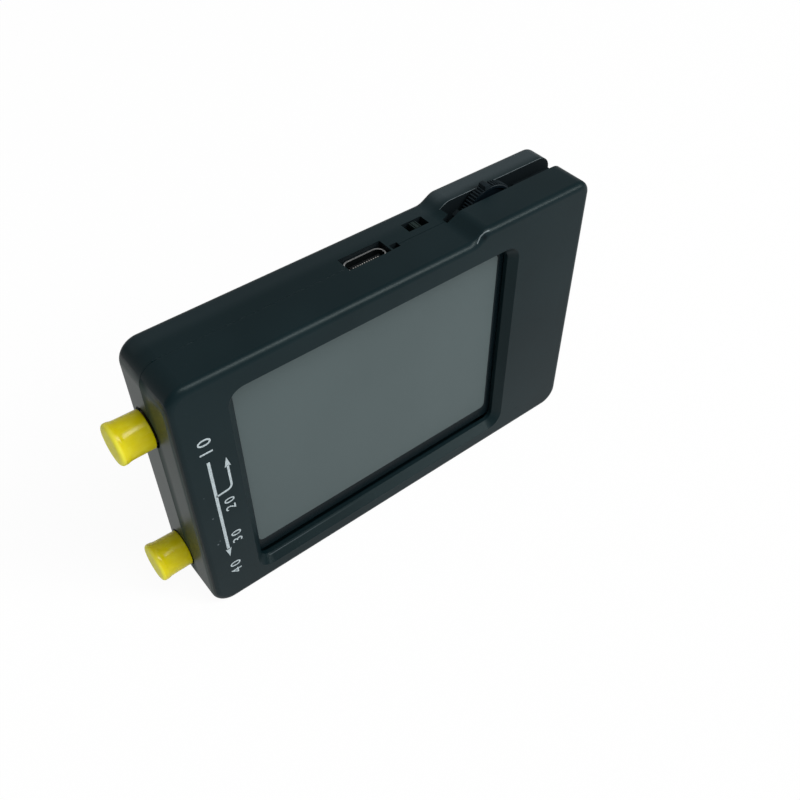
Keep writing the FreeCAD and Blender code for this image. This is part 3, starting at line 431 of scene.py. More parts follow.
def soft_box(shape: Shape, low: Sequence[float], high: Sequence[float], edge: float, segments: int = 3) -> None:
    """Add a box between two corners with rounded edges."""
    middle = [(a + b) / 2 for a, b in zip(low, high)]
    sides = [b - a for a, b in zip(low, high)]
    place = Matrix.Translation(middle) @ Matrix.Diagonal((*sides, 1.0))
    made = bmesh.ops.create_cube(shape, size=1.0, matrix=place)
    edges = {edge_ for vert in made["verts"] for edge_ in vert.link_edges}
    if edge > 0:
        bmesh.ops.bevel(shape, geom=list(edges), offset=edge, segments=segments, profile=0.5,
                        affect="EDGES", clamp_overlap=True)


@dataclass(frozen=True)
class Box:
    """A node's place, in millimetres."""

    low: Vector
    high: Vector

    @staticmethod
    def of(node: str) -> Box:
        """The box of a CAD node at rest."""
        low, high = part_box(node)
        return Box(low / MM, high / MM)

    @property
    def middle(self) -> Vector:
        """Its centre."""
        return (self.low + self.high) / 2


def place(piece: Thing, body: str, slot: str, material: Material | None = None,
          replaces: Sequence[str] = ()) -> Thing:
    """Give a finished piece its material, its body and the nodes that it stands for."""
    if material is not None:
        piece.data.materials.clear()
        piece.data.materials.append(material)
    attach(piece, body)
    DRESSED.update(replaces)
    if replaces:
        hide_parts(*replaces)
    log.info("%s rides on %s", piece.name, body)
    return piece


def dress(finish: Finish, *nodes: str) -> Material:
    """Build a finish, give it to CAD nodes and return its material."""
    material = finish.build()
    DRESSED.update(nodes)
    for node in nodes:
        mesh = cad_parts[node].data
        for number in range(len(mesh.materials)):
            mesh.materials[number] = material
        log.info("%s wears %s", node, material.name)
    return material


# ---------------------------------------------------------------- finishes


def paint(red: int, green: int, blue: int) -> Colour:
    """A colour from its screen values, 0 to 255."""
    shares = [level / 255 for level in (red, green, blue)]
    return tuple(share / 12.92 if share <= 0.04045 else ((share + 0.055) / 1.055) ** 2.4 for share in shares)


def distance(*sides: Wire) -> Wire:
    """The length of a line from its sides."""
    return sum(side * side for side in sides) ** 0.5


def off_line(spot: Sequence[Wire], start: Point, stop: Point) -> Wire:
    """How far a spot lies from the straight line between two points."""
    run = [after - before for before, after in zip(start, stop)]
    away = [here - before for here, before in zip(spot, start)]
    reach = sum(far * step for far, step in zip(away, run)) * (1 / sum(step * step for step in run))
    share = reach.most(0.0).least(1.0)
    return distance(*(far - share * step for far, step in zip(away, run)))


@dataclass(frozen=True)
class Finish:
    """A named finish with one main colour."""

    name: str
    colour: Colour

    def build(self) -> Material:
        """Make the material."""
        graph = Graph(self.name)
        return graph.finish(self.look(graph))

    def look(self, graph: Graph) -> Look:
        """The Principled shader's inputs by name."""
        raise NotImplementedError

    def times(self, share: float) -> Colour:
        """The main colour with its levels multiplied."""
        return tuple(level * share for level in self.colour)


@dataclass(frozen=True)
class MouldedPlastic(Finish):
    """Injection-moulded plastic: fine mould grain, faint flow marks, light scuffs and dust."""

    roughness: float = 0.3
    index: float = 1.25
    tint: Colour = WHITE
    grain_size: float = 0.16
    grain_depth: float = 0.004
    dust: float = 0.25
    dust_paleness: float = 0.06

    def look(self, graph: Graph) -> Look:
        """The plain moulding under its marks of use."""
        flow = graph.noise(22.0, 2.0)
        grain = graph.noise(self.grain_size, 2.0)
        scuff = graph.noise(1.6, 4.0, graph.stretched((0.35, 1.0, 1.6))).rise(0.66, 0.78)
        speck = 1 - graph.cells(2.3).rise(0.02, 0.045)
        pale = tuple(level * 1.2 + 0.001 for level in self.colour)
        dusty = tuple(level + self.dust_paleness for level in self.colour)
        colour = graph.mix(flow.rise(0.3, 0.7), self.colour, pale)
        colour = graph.mix(speck * self.dust, colour, dusty)
        roughness = self.roughness + 0.05 * (flow - 0.5) + 0.08 * scuff + 0.05 * (grain - 0.5)
        skin = (colour, roughness, graph.bump(grain, self.grain_depth))
        colour, roughness, normal = self.wear(graph, skin)
        return {"Base Color": colour, "Roughness": roughness, "IOR": self.index, "Specular Tint": self.tint,
                "Normal": normal}

    def wear(self, graph: Graph, skin: Skin) -> Skin:
        """Marks of use beyond the scuffs: a small moulding has none."""
        return skin


@dataclass(frozen=True)
class CasePlastic(MouldedPlastic):
    """The case's plastic, with painted shade in the wells of the top, painted highlights along some edges and a seam
    that flares at the left end.

    An opening is (left, right, near, far), the jog wheel's slot first. A nick is (across, up, size).
    """

    openings: tuple[Quad, ...] = (
        (18.2, 46.9, -0.45, 3.2), (-5.7, 3.7, -0.44, 3.28), (4.15, 5.85, -0.25, 1.05), (16.9, 18.6, -0.25, 1.05),
        (9.75, 14.45, 2.0, 4.6))
    hair: float = 0.005
    well_top: float = 45.0
    well_dullness: float = 0.45
    # painted shade: the dark colour laid on the walls of the openings in the top
    deep: Colour = (0.0024, 0.0052, 0.0072)
    # painted shadow: a dark spot beside the front corner of the ramp
    painted_shadow_spot: Point = (19.1, -8.45, 60.1)
    painted_shadow_reach: float = 0.75
    # painted reflection: a paler sheen over the back strip, strongest on the shoulder
    sheen: Pair = (0.07, 0.23)
    sheen_back: Pair = (2.8, 5.6)
    sheen_foot: Pair = (58.6, 59.2)
    sheen_top: Pair = (60.3, 61.3)
    nicks: tuple[Point, ...] = ((-43.8, 19.2, 0.24), (-43.3, 19.9, 0.16), (-43.6, 27.0, 0.2), (-44.3, 33.5, 0.1))
    face: float = -8.5
    # a painted highlight line along the edge of the window's sill
    sill: Quad = (-33.5, -6.0, -7.35, 5.1)
    sill_line: float = 0.06
    sill_highlight: float = 0.5
    # colour for the worn nicks and for the painted sheen and sill highlight
    rub_and_highlight: Colour = (0.085, 0.105, 0.115)
    slot_top: float = 58.0
    line_width: float = 0.16
    line_core: float = 0.3
    # painted highlight: the line of light round the front corner of the ramp
    hook: tuple[Point, ...] = ((17.45, -8.26, 59.47), (18.4, -7.9, 60.36), (19.3, -7.95, 60.86), (20.3, -8.12, 61.0))
    hook_highlight: Colour = (0.12, 0.145, 0.155)
    seam: float = 0.4
    seam_reach: float = 3.0
    seam_flare: float = 0.26
    flare_dullness: float = 0.2
    draft: float = 0.05
    end: float = -46.4
    end_blend: float = 0.5
    # painted reflection: the left end lifted towards a paler green
    end_painted_reflection: Colour = (0.013, 0.030, 0.026)

    def wear(self, graph: Graph, skin: Skin) -> Skin:
        """Paint shade into the wells and a shadow spot by the ramp, lay the worn and highlighted places over them,
        paint a reflection onto the left end and flare the seam.

        Args:
            graph: the material's tree.
            skin: the plain moulding's colour, roughness and normal.

        Returns:
            The same three, worn and with painted light and shade.
        """
        colour, roughness, normal = skin
        spot = x, y, _ = tuple(graph.along(axis) for axis in Axis)
        wells = self.wells(spot)
        painted_shadow_spot = 1 - distance(*(here - at for here, at in zip(spot, self.painted_shadow_spot))).rise(0.0, self.painted_shadow_reach)
        at_end = x.rise(self.end, self.end - self.end_blend)
        flare = y.rise(self.seam - self.seam_reach, self.seam) * (y < self.seam) * at_end
        sunk = abs(y - self.seam) * (self.draft / self.seam_flare) * at_end
        # painted shade in the wells and in the shadow spot; the left end lifted as a painted reflection
        colour = graph.mix(at_end, graph.mix(wells.most(painted_shadow_spot), colour, self.deep), self.end_painted_reflection)
        # worn nicks, painted sheen and the painted sill highlight
        colour = graph.mix(self.rub_and_highlight_amount(spot, wells), colour, self.rub_and_highlight)
        # painted highlight lines behind the slot and round the ramp
        colour = graph.mix(self.painted_highlight_lines(graph, spot), colour, self.hook_highlight)
        return (colour, roughness + self.flare_dullness * flare + self.well_dullness * wells,
                graph.bump(flare - sunk, self.seam_flare, normal))

    def wells(self, spot: Sequence[Wire]) -> Wire:
        """One on the walls of the openings in the top, where shade is painted, else zero."""
        x, y, z = spot
        inside = sum((x > left - self.hair) * (x < right + self.hair) * (y > near - self.hair) * (y < far + self.hair)
                     for left, right, near, far in self.openings)
        return inside.least(1.0) * (z > self.well_top)

    def rub_and_highlight_amount(self, spot: Sequence[Wire], wells: Wire) -> Wire:
        """How far the colour is lifted by real rubbing and by painted highlights.

        Args:
            spot: the places along the three axes.
            wells: one inside the openings.

        Returns:
            The strongest of the painted sheen (a painted reflection) on the back strip, the worn nicks in the face
            and the painted highlight along the sill.
        """
        x, y, z = spot
        base, more = self.sheen
        rub_and_highlight = base + more * z.rise(*self.sheen_top)
        rub_and_highlight = rub_and_highlight * y.rise(*self.sheen_back) * z.rise(*self.sheen_foot) * (1 - wells)
        for across, up, size in self.nicks:
            rub_and_highlight = rub_and_highlight.most((1 - distance(x - across, z - up).rise(size * 0.5, size)) * (y < self.face))
        left, right, deep, up = self.sill
        line = (abs(y - deep) < self.sill_line) * (z < up) * (x > left)
        return rub_and_highlight.most(line * (self.sill_highlight - self.sill_highlight * x.rise(left, right)))

    def painted_highlight_lines(self, graph: Graph, spot: Sequence[Wire]) -> Wire:
        """The painted highlight line behind the slot, which breaks up, and the painted highlight that hooks round the
        front of the ramp.
        """
        x, y, z = spot
        left, _, _, far = self.openings[0]
        width = self.line_width
        behind = (y > far + self.hair) * (y < far + width) * (x > left - width) * (z > self.slot_top)
        line = behind * (0.4 + 0.6 * graph.noise(1.1, 3.0).rise(0.25, 0.6))
        for start, stop in zip(self.hook, self.hook[1:]):
            line = line.most(1 - off_line(spot, start, stop).rise(width * self.line_core, width))
        return line


@dataclass(frozen=True)
class WheelPlastic(MouldedPlastic):
    """The jog wheel's plastic: dusty pale in its knurl, with a painted highlight along the front edge of its rim."""

    centre: Point = (28.9, 1.75, 56.1)
    front: float = 0.95
    edge: Pair = (5.98, 6.24)
    edge_blend: float = 0.08
    arc: Pair = (-3.5, 1.5)
    # painted highlight colour for the rim's front edge
    rim_highlight: Colour = (0.032, 0.040, 0.045)
    dusty: Colour = (0.010, 0.0155, 0.019)

    def wear(self, graph: Graph, skin: Skin) -> Skin:
        """Fill the knurl with dust and paint a highlight on the rim's front edge.

        Args:
            graph: the material's tree.
            skin: the plain moulding's colour, roughness and normal.

        Returns:
            The worn colour, and the roughness and normal as they were.
        """
        across, _, up = self.centre
        x, z = graph.along(Axis.X) - across, graph.along(Axis.Z) - up
        out = distance(x, z)
        (inner, outer), blend = self.edge, self.edge_blend
        rim = out.rise(inner, inner + blend) * (1 - out.rise(outer - blend, outer))
        # painted highlight along the front edge of the rim
        shine = rim * (graph.along(Axis.Y) < self.front) * x.rise(*self.arc)
        shine = shine * (0.5 + 0.5 * graph.noise(0.9, 2.0).rise(0.3, 0.6))
        colour = graph.mix(shine, graph.mix(out > outer, skin[0], self.dusty), self.rim_highlight)
        return (colour, *skin[1:])


@dataclass(frozen=True)
class CapVinyl(Finish):
    """Soft glossy vinyl that lets a little light through, with mould haze and a paler worn skin at its end."""

    worn: Colour
    shoulder: float = -52.9
    scatter: Colour = (1.0, 0.8, 0.1)
    scatter_depth: float = 1.2

    def look(self, graph: Graph) -> Look:
        """Hazed and scratched, and duller on the closed end."""
        haze = graph.noise(2.4, 4.0)
        pits = graph.noise(0.35, 3.0)
        scratch = graph.noise(0.5, 3.0, graph.stretched((0.25, 1.0, 1.0))).rise(0.62, 0.75)
        closed = graph.along(Axis.X).rise(self.shoulder, self.shoulder - 0.5)
        colour = graph.mix((haze.rise(0.35, 0.75) * 0.4).most(closed), self.colour, self.worn)
        roughness = 0.2 + 0.08 * haze.rise(0.3, 0.7) + 0.1 * scratch + 0.28 * closed
        return {"Base Color": colour, "Roughness": roughness, "IOR": 1.34, "Subsurface Weight": 0.3,
                "Subsurface Radius": self.scatter, "Subsurface Scale": self.scatter_depth * MM,
                "Normal": graph.bump(haze + 0.3 * pits, 0.02)}


@dataclass(frozen=True)
class PlatedMetal(Finish):
    """Plated or rolled metal with fine draw lines and a trace of tarnish, and painted shade that closes over past a
    level along one axis.
    """

    tarnish_and_shade: Colour
    roughness: float = 0.25
    lines: Point = (1.0, 1.0, 1.0)
    painted_shade_span: tuple[Axis, float, float] | None = None

    def look(self, graph: Graph) -> Look:
        """Drawn, stained and darkened by painted shade between two levels along one axis."""
        drawn = graph.noise(0.12, 3.0, graph.stretched(self.lines))
        stain = graph.noise(1.8, 4.0).rise(0.5, 0.75) * 0.5
        # painted shade: past the bright level the tarnish colour closes over
        if self.painted_shade_span is not None:
            axis, bright, dark = self.painted_shade_span
            stain = stain.most(graph.along(axis).rise(bright, dark))
        return {"Base Color": graph.mix(stain, self.colour, self.tarnish_and_shade), "Metallic": 1.0,
                "Roughness": self.roughness + 0.12 * (drawn - 0.5) + 0.3 * stain,
                "Normal": graph.bump(drawn, 0.003)}


@dataclass(frozen=True)
class TouchScreen(Finish):
    """The unlit display under its touch film: a grey view area with rounded corners in a black border."""

    border: Colour
    view_low: Pair
    view_high: Pair
    corner: float
    blend: float = 0.06

    def look(self, graph: Graph) -> Look:
        """The view, its border and the smears on the film."""
        reach = []
        for axis, low, high in zip((Axis.X, Axis.Z), self.view_low, self.view_high):
            half = (high - low) / 2 - self.corner
            reach.append((abs(graph.along(axis) - (low + high) / 2) - half).most(0.0))
        masked = (distance(*reach) - self.corner).rise(-self.blend, self.blend)
        sheen = graph.noise(30.0, 1.0)
        dots = graph.noise(0.09, 1.0)
        grey = graph.mix(sheen.rise(0.3, 0.7) * 0.5, self.colour, self.times(1.12))
        smear = graph.noise(9.0, 4.0, graph.stretched((1.0, 1.0, 0.45))).rise(0.45, 0.8)
        return {"Base Color": graph.mix(masked, grey, self.border),
                "Roughness": 0.34 + 0.1 * smear + 0.06 * (dots - 0.5) - 0.1 * masked,
                "Specular IOR Level": 0.12, "Normal": graph.bump(dots, 0.001)}


@dataclass(frozen=True)
class Ink(Finish):
    """Screen-printed ink: slightly broken at its edges, matt."""

    def look(self, graph: Graph) -> Look:
        """Thinner and darker in places."""
        thin = graph.noise(0.28, 4.0).rise(0.35, 0.6)
        return {"Base Color": graph.mix(thin, self.times(0.72), self.colour),
                "Roughness": 0.55 + 0.15 * (1 - thin), "Specular IOR Level": 0.3,
                "Normal": graph.bump(thin, 0.004)}


@dataclass(frozen=True)
class BoardMask(Finish):
    """Solder mask over copper: straight tracks and round vias show through as raised paler shapes."""

    track: Colour
    row_pitch: float = 1.27
    column_pitch: float = 1.9

    def look(self, graph: Graph) -> Look:
        """Rows and columns of track in separate regions, with vias over both."""
        x, z = graph.along(Axis.X), graph.along(Axis.Z)
        row = abs(x.modulo(self.row_pitch) - self.row_pitch / 2) < 0.16
        column = abs(z.modulo(self.column_pitch) - self.column_pitch / 2) < 0.2
        choose = graph.noise(5.0, 1.0)
        tracks = row * (choose > 0.55) + column * (choose < 0.42)
        copper = (tracks + (graph.cells(2.6) < 0.11)).least(1.0)
        grain = graph.noise(0.2, 2.0)
        return {"Base Color": graph.mix(copper * 0.7, self.colour, self.track), "Roughness": 0.26 + 0.1 * grain,
                "Coat Weight": 0.3, "Normal": graph.bump(copper + 0.1 * grain, 0.03)}


@dataclass(frozen=True)
class Foil(Finish):
    """A laminated pouch: satin foil, softly crinkled."""

    def look(self, graph: Graph) -> Look:
        """Large creases under a fine weave."""
        crease = graph.noise(6.0, 5.0)
        weave = graph.noise(0.4, 2.0)
        return {"Base Color": graph.mix(crease.rise(0.3, 0.7), self.colour, self.times(0.82)), "Metallic": 0.85,
                "Roughness": 0.34 + 0.15 * weave, "Normal": graph.bump(crease + 0.1 * weave, 0.12)}


@dataclass(frozen=True)
class Foam(Finish):
    """Closed-cell foam with pores."""

    def look(self, graph: Graph) -> Look:
        """Dark pores in a matt skin."""
        pores = graph.cells(0.22).rise(0.1, 0.4)
        return {"Base Color": graph.mix(pores, self.times(0.4), self.colour), "Roughness": 0.85 + 0.1 * pores,
                "Specular IOR Level": 0.2, "Normal": graph.bump(pores, 0.05)}


@dataclass(frozen=True)
class ClearPlastic(Finish):
    """Clear or frosted moulded plastic."""

    roughness: float = 0.15
    transmission: float = 0.7

    def look(self, graph: Graph) -> Look:
        """Rippled and lightly frosted."""
        ripple = graph.noise(4.0, 3.0)
        frost = graph.noise(0.2, 2.0)
        return {"Base Color": graph.mix(ripple, self.colour, self.times(0.9)),
                "Roughness": self.roughness + 0.1 * frost, "Transmission Weight": self.transmission,
                "Normal": graph.bump(ripple + frost, 0.01)}


@dataclass(frozen=True)
class Film(Finish):
    """Flexible circuit film with copper runs along it."""

    copper: Colour
    pitch: float = 0.5

    def look(self, graph: Graph) -> Look:
        """Evenly spaced runs under a haze."""
        runs = abs(graph.along(Axis.Z).modulo(self.pitch) - self.pitch / 2) < 0.13
        haze = graph.noise(3.0, 3.0)
        return {"Base Color": graph.mix(runs * 0.7, self.colour, self.copper), "Roughness": 0.3 + 0.15 * haze,
                "Normal": graph.bump(runs + haze, 0.01)}


@dataclass(frozen=True)
class Package(Finish):
    """A moulded chip body: fine grain and a pin-one dot."""

    dot: Pair

    def look(self, graph: Graph) -> Look:
        """Grain with one round dimple."""
        sides = (graph.along(axis) - at for axis, at in zip((Axis.X, Axis.Z), self.dot))
        dimple = 1 - distance(*sides).rise(0.3, 0.4)
        grain = graph.noise(0.11, 3.0)
        return {"Base Color": graph.mix(dimple * 0.6 + grain * 0.2, self.colour, self.times(2.4)),
                "Roughness": 0.45 + 0.2 * grain, "Normal": graph.bump(grain * 0.3 - dimple, 0.03)}


@dataclass(frozen=True)
class Sheath(Finish):
    """Wire insulation in two colours, split at a place across, with fine extrusion lines."""

    other: Colour
    split: float

    def look(self, graph: Graph) -> Look:
        """One colour on each side of the split."""
        side = graph.along(Axis.X) > self.split
        lines = graph.noise(0.15, 3.0, graph.stretched((1.0, 1.0, 0.15)))
        return {"Base Color": graph.mix(side, self.colour, self.other), "Roughness": 0.35 + 0.15 * lines,
                "Normal": graph.bump(lines, 0.005)}


# ---------------------------------------------------------------- sub-assemblies


def spiral_thread(recipe: Recipe, axis: Axis, start: Point) -> Wire:
    """A thread ridge wound along an axis, with the recipe's Radius, Turns, Length and Ridge.

    Args:
        recipe: the tree, with those four inputs.
        axis: the direction of the screw's axis; the ridge runs towards its positive side.
        start: where the ridge begins, in metres.

    Returns:
        The ridge's mesh.
    """
    coil = recipe.add("GeometryNodeCurveSpiral", {}, {
        "Resolution": 36, "Rotations": recipe["Turns"], "Start Radius": recipe["Radius"],
        "End Radius": recipe["Radius"], "Height": recipe["Length"]})
    section = recipe.add("GeometryNodeCurvePrimitiveCircle", {"mode": "RADIUS"},
                         {"Resolution": 4, "Radius": recipe["Ridge"]})
    ridge = recipe.add("GeometryNodeCurveToMesh", {}, {"Curve": coil, "Profile Curve": section, "Fill Caps": True})
    turn = (0.0, math.pi / 2, 0.0) if axis is Axis.X else (-math.pi / 2, 0.0, 0.0)
    return recipe.moved(ridge, start, turn)


@dataclass
class Case:
    """The two moulded halves, their screws and the printed signal path.

    A lap is (left, right, low, high), a mark is (text, across, up, height) and a post is (across, up).
    """

    lap_depth: Pair = (0.352, 0.448)
    lap_edge: float = 0.01
    laps: tuple[Quad, ...] = (
        (-44.0, -6.2, 57.6, 59.69), (6.2, 16.6, 57.6, 59.2), (-44.0, 44.0, 0.4, 1.6), (-46.6, -45.6, 2.5, 4.4),
        (-46.6, -45.6, 13.6, 39.7), (-46.6, -45.6, 48.9, 57.0), (45.6, 46.6, 2.5, 48.0))
    face: float = -8.6
    ink_rise: float = 0.02
    path: Pair = (-42.05, -38.75)
    line: float = 0.6
    thin_line: float = 0.45
    main_run: Pair = (41.6, 16.4)
    main_tip: float = 13.9
    branch_run: Pair = (32.15, 38.4)
    branch_tip: float = 40.7
    bend_height: float = 33.5
    bend_radius: float = 1.1
    barb: float = 0.62
    arrow_length: float = 2.5
    arrow_notch: float = 2.15
    marks: tuple[tuple[str, float, float, float], ...] = (
        ("10", -42.0, 45.3, 2.5), ("20", -39.8, 28.5, 2.0), ("30", -39.9, 18.6, 2.0), ("40", -41.4, 9.7, 2.15))
    digit_share: float = 0.69
    digit_weight: float = 0.012
    digit_spacing: float = 1.45
    head_radius: float = 1.55
    head_height: float = 1.1
    seat: float = 6.7
    shank_radius: float = 0.8
    shank_length: float = 9.0
    thread_depth: float = 0.18
    ridge: float = 0.13
    pitch: float = 0.55
    posts: tuple[Pair, ...] = ((-41.0, 54.0), (-41.0, 18.4), (41.2, 54.0), (41.2, 5.6))
    plastic: CasePlastic = CasePlastic("case_plastic", (0.0028, 0.0098, 0.0122), 0.36, tint=(0.86, 1.0, 0.98))
    # the cross recess is darkened below y 7.6 as painted shade
    steel: PlatedMetal = PlatedMetal("blackened_screw_steel", (0.20, 0.20, 0.205), (0.012, 0.012, 0.013), 0.3,
                                     (1.0, 0.2, 1.0), (Axis.Y, 7.72, 7.6))
    ink: Ink = Ink("white_ink", paint(170, 182, 186))

    def build(self) -> None:
        """Dress the halves, close their joint, drive the screws and print the face."""
        plastic = dress(self.plastic, "front_shell", "back_shell")
        self.make_lap(plastic)
        self.make_screws()
        self.print_face()

    def make_lap(self, material: Material) -> None:
        """The lip that closes the joint from within: flush left of the socket, sunk on the other runs."""
        shape = bmesh.new()
        near, far = self.lap_depth
        for left, right, low, high in self.laps:
            soft_box(shape, (left, near, low), (right, far, high), self.lap_edge, 1)
        place(from_bmesh("joint_lip", shape), "case", "case_black", material)

    def make_screws(self) -> None:
        """Cross-recessed screws with cut threads, one at each post."""
        crown, rim, shank, end = self.head_height, self.head_radius, self.shank_radius, -self.shank_length
        core = shank - self.thread_depth
        profile = [(0, crown), (0.5, crown), (0.95, crown - 0.06), (1.3, crown - 0.24), (rim - 0.05, 0.55),
                   (rim, 0.4), (rim, 0.08), (rim - 0.08, 0), (shank, 0), (core, -0.25), (core, 0.7 + end),
                   (0.15, end), (0, end)]
        cutter = bmesh.new()
        for arm in (Axis.X, Axis.Z):
            rings = []
            for level, width, length in ((crown - 0.75, 0.1, 0.3), (crown + 0.05, 0.16, 0.85)):
                half = [length if axis is arm else width for axis in Axis]
                rings.append([(across * half[0], level, up * half[2]) for across, up in SQUARE])
            loft(cutter, rings)
        posts = bpy.data.meshes.new("screw_posts")
        posts.from_pydata([(x * MM, self.seat * MM, z * MM) for x, z in self.posts], [], [])
        turns = (self.shank_length - 1.4) / self.pitch
        recipe = Recipe("Screws", Blank=from_bmesh("screw_blank", lathe(profile, (0, 0, 0), Axis.Y, 48)),
                        Cross=from_bmesh("screw_cross", cutter), Posts=new_object("screw_posts", posts),
                        Finish=self.steel.build(), Radius=(shank - 0.1) * MM, Turns=turns,
                        Length=turns * self.pitch * MM, Ridge=self.ridge * MM)
        driven = recipe.add("GeometryNodeMeshBoolean", {"operation": "DIFFERENCE", "solver": "EXACT"},
                            {"Mesh 1": recipe.shape_of("Blank"), "Mesh 2": recipe.shape_of("Cross"),
                             "Self Intersection": True}, out="Mesh")
        screw = recipe.joined(driven, spiral_thread(recipe, Axis.Y, (0.0, (1.0 + end) * MM, 0.0)))
        made = recipe.grow("screws", recipe.copied(screw, recipe.shape_of("Posts")), 38.0)
        place(made, "case", "screw_steel", replaces=["case_screws"])

    def print_face(self) -> None:
        """The signal path and the numerals that mark its stations."""
        shape = bmesh.new()
        main, branch = self.path
        low, high = self.branch_run
        self.stroke(shape, [(main, level) for level in self.main_run], self.line)
        self.arrow(shape, main, self.main_tip, -1)
        bend = arc((branch - self.bend_radius, self.bend_height), self.bend_radius, -78, 0, 5)
        self.stroke(shape, [(main, low), *bend, (branch, high)], self.thin_line)
        self.arrow(shape, branch, self.branch_tip, 1)
        for mark in self.marks:
            self.numeral(shape, *mark)
        place(from_bmesh("printed_path", shape, 20.0), "case", "case_black", self.ink.build())

    def prism(self, shape: Shape, corners: Sequence[Pair]) -> None:
        """A thin flat print with corners in (x, z)."""
        loft(shape, [[(x, level, z) for x, z in corners] for level in (self.face, self.face - self.ink_rise)])

    def stroke(self, shape: Shape, points: Sequence[Pair], width: float) -> None:
        """A line of even width with mitred corners."""
        left, right = [], []
        for number, (x, z) in enumerate(points):
            before = Vector(points[max(number - 1, 0)])
            after = Vector(points[min(number + 1, len(points) - 1)])
            here = Vector((x, z))
            inward = (here - before).normalized() if number else (after - here).normalized()
            onward = (after - here).normalized() if number < len(points) - 1 else inward
            middle = (inward + onward).normalized()
            across = Vector((-middle.y, middle.x)) * (width / 2 / max(middle.dot(onward), 0.5))
            left.append(tuple(here + across))
            right.append(tuple(here - across))
        self.prism(shape, left + right[::-1])

    def arrow(self, shape: Shape, x: float, tip: float, way: int) -> None:
        """An arrowhead whose tip points up (1) or down (-1)."""
        back, notch = tip - way * self.arrow_length, tip - way * self.arrow_notch
        self.prism(shape, [(x, tip), (x - self.barb, back), (x, notch), (x + self.barb, back)])

    def numeral(self, shape: Shape, text: str, x: float, z: float, height: float) -> None:
        """A numeral that reads upwards, its top towards -X, centred on a point."""
        curve = bpy.data.curves.new("numeral", "FONT")
        curve.body = text
        curve.size = height / self.digit_share
        curve.align_x = "CENTER"
        curve.offset = self.digit_weight
        curve.space_character = self.digit_spacing
        curve.extrude = self.ink_rise / 2
        holder = new_object("numeral", curve)
        layers = bpy.context.evaluated_depsgraph_get()
        mesh = bpy.data.meshes.new_from_object(holder.evaluated_get(layers), depsgraph=layers)
        mesh.transform(Matrix(((0, -1, 0, x + height / 2), (0, 0, -1, self.face - self.ink_rise / 2),
                               (1, 0, 0, z), (0, 0, 0, 1))))
        shape.from_mesh(mesh)
        bpy.data.objects.remove(holder)
        bpy.data.meshes.remove(mesh)


@dataclass
class Display:
    """The touch screen and what lies behind it."""

    view_low: Pair = (-34.4, 8.9)
    view_high: Pair = (25.6, 51.8)
    corner: float = 1.1

    def build(self) -> None:
        """Dress the display's nodes."""
        dress(TouchScreen("touch_screen", paint(73, 84, 85), paint(8, 19, 23), self.view_low, self.view_high,
                          self.corner), "touch_glass")
        dress(Foam("black_gasket_foam", (0.02, 0.022, 0.024)), "window_gasket")
        dress(ClearPlastic("lcd_cell", (0.10, 0.12, 0.11), 0.1, 0.2), "lcd_panel")
        dress(ClearPlastic("light_guide_acrylic", (0.92, 0.93, 0.93), 0.12, 0.8), "light_guide")
        dress(PlatedMetal("tray_steel", (0.62, 0.63, 0.64), (0.42, 0.43, 0.44), 0.3, (0.2, 1, 1)), "backlight_tray")
        dress(Film("ribbon_polyimide", (0.42, 0.20, 0.03), (0.70, 0.42, 0.16)), "display_ribbon")
        dress(MouldedPlastic("ivory_connector", (0.62, 0.58, 0.46), 0.45, 1.5, dust=0.05), "ribbon_connector")


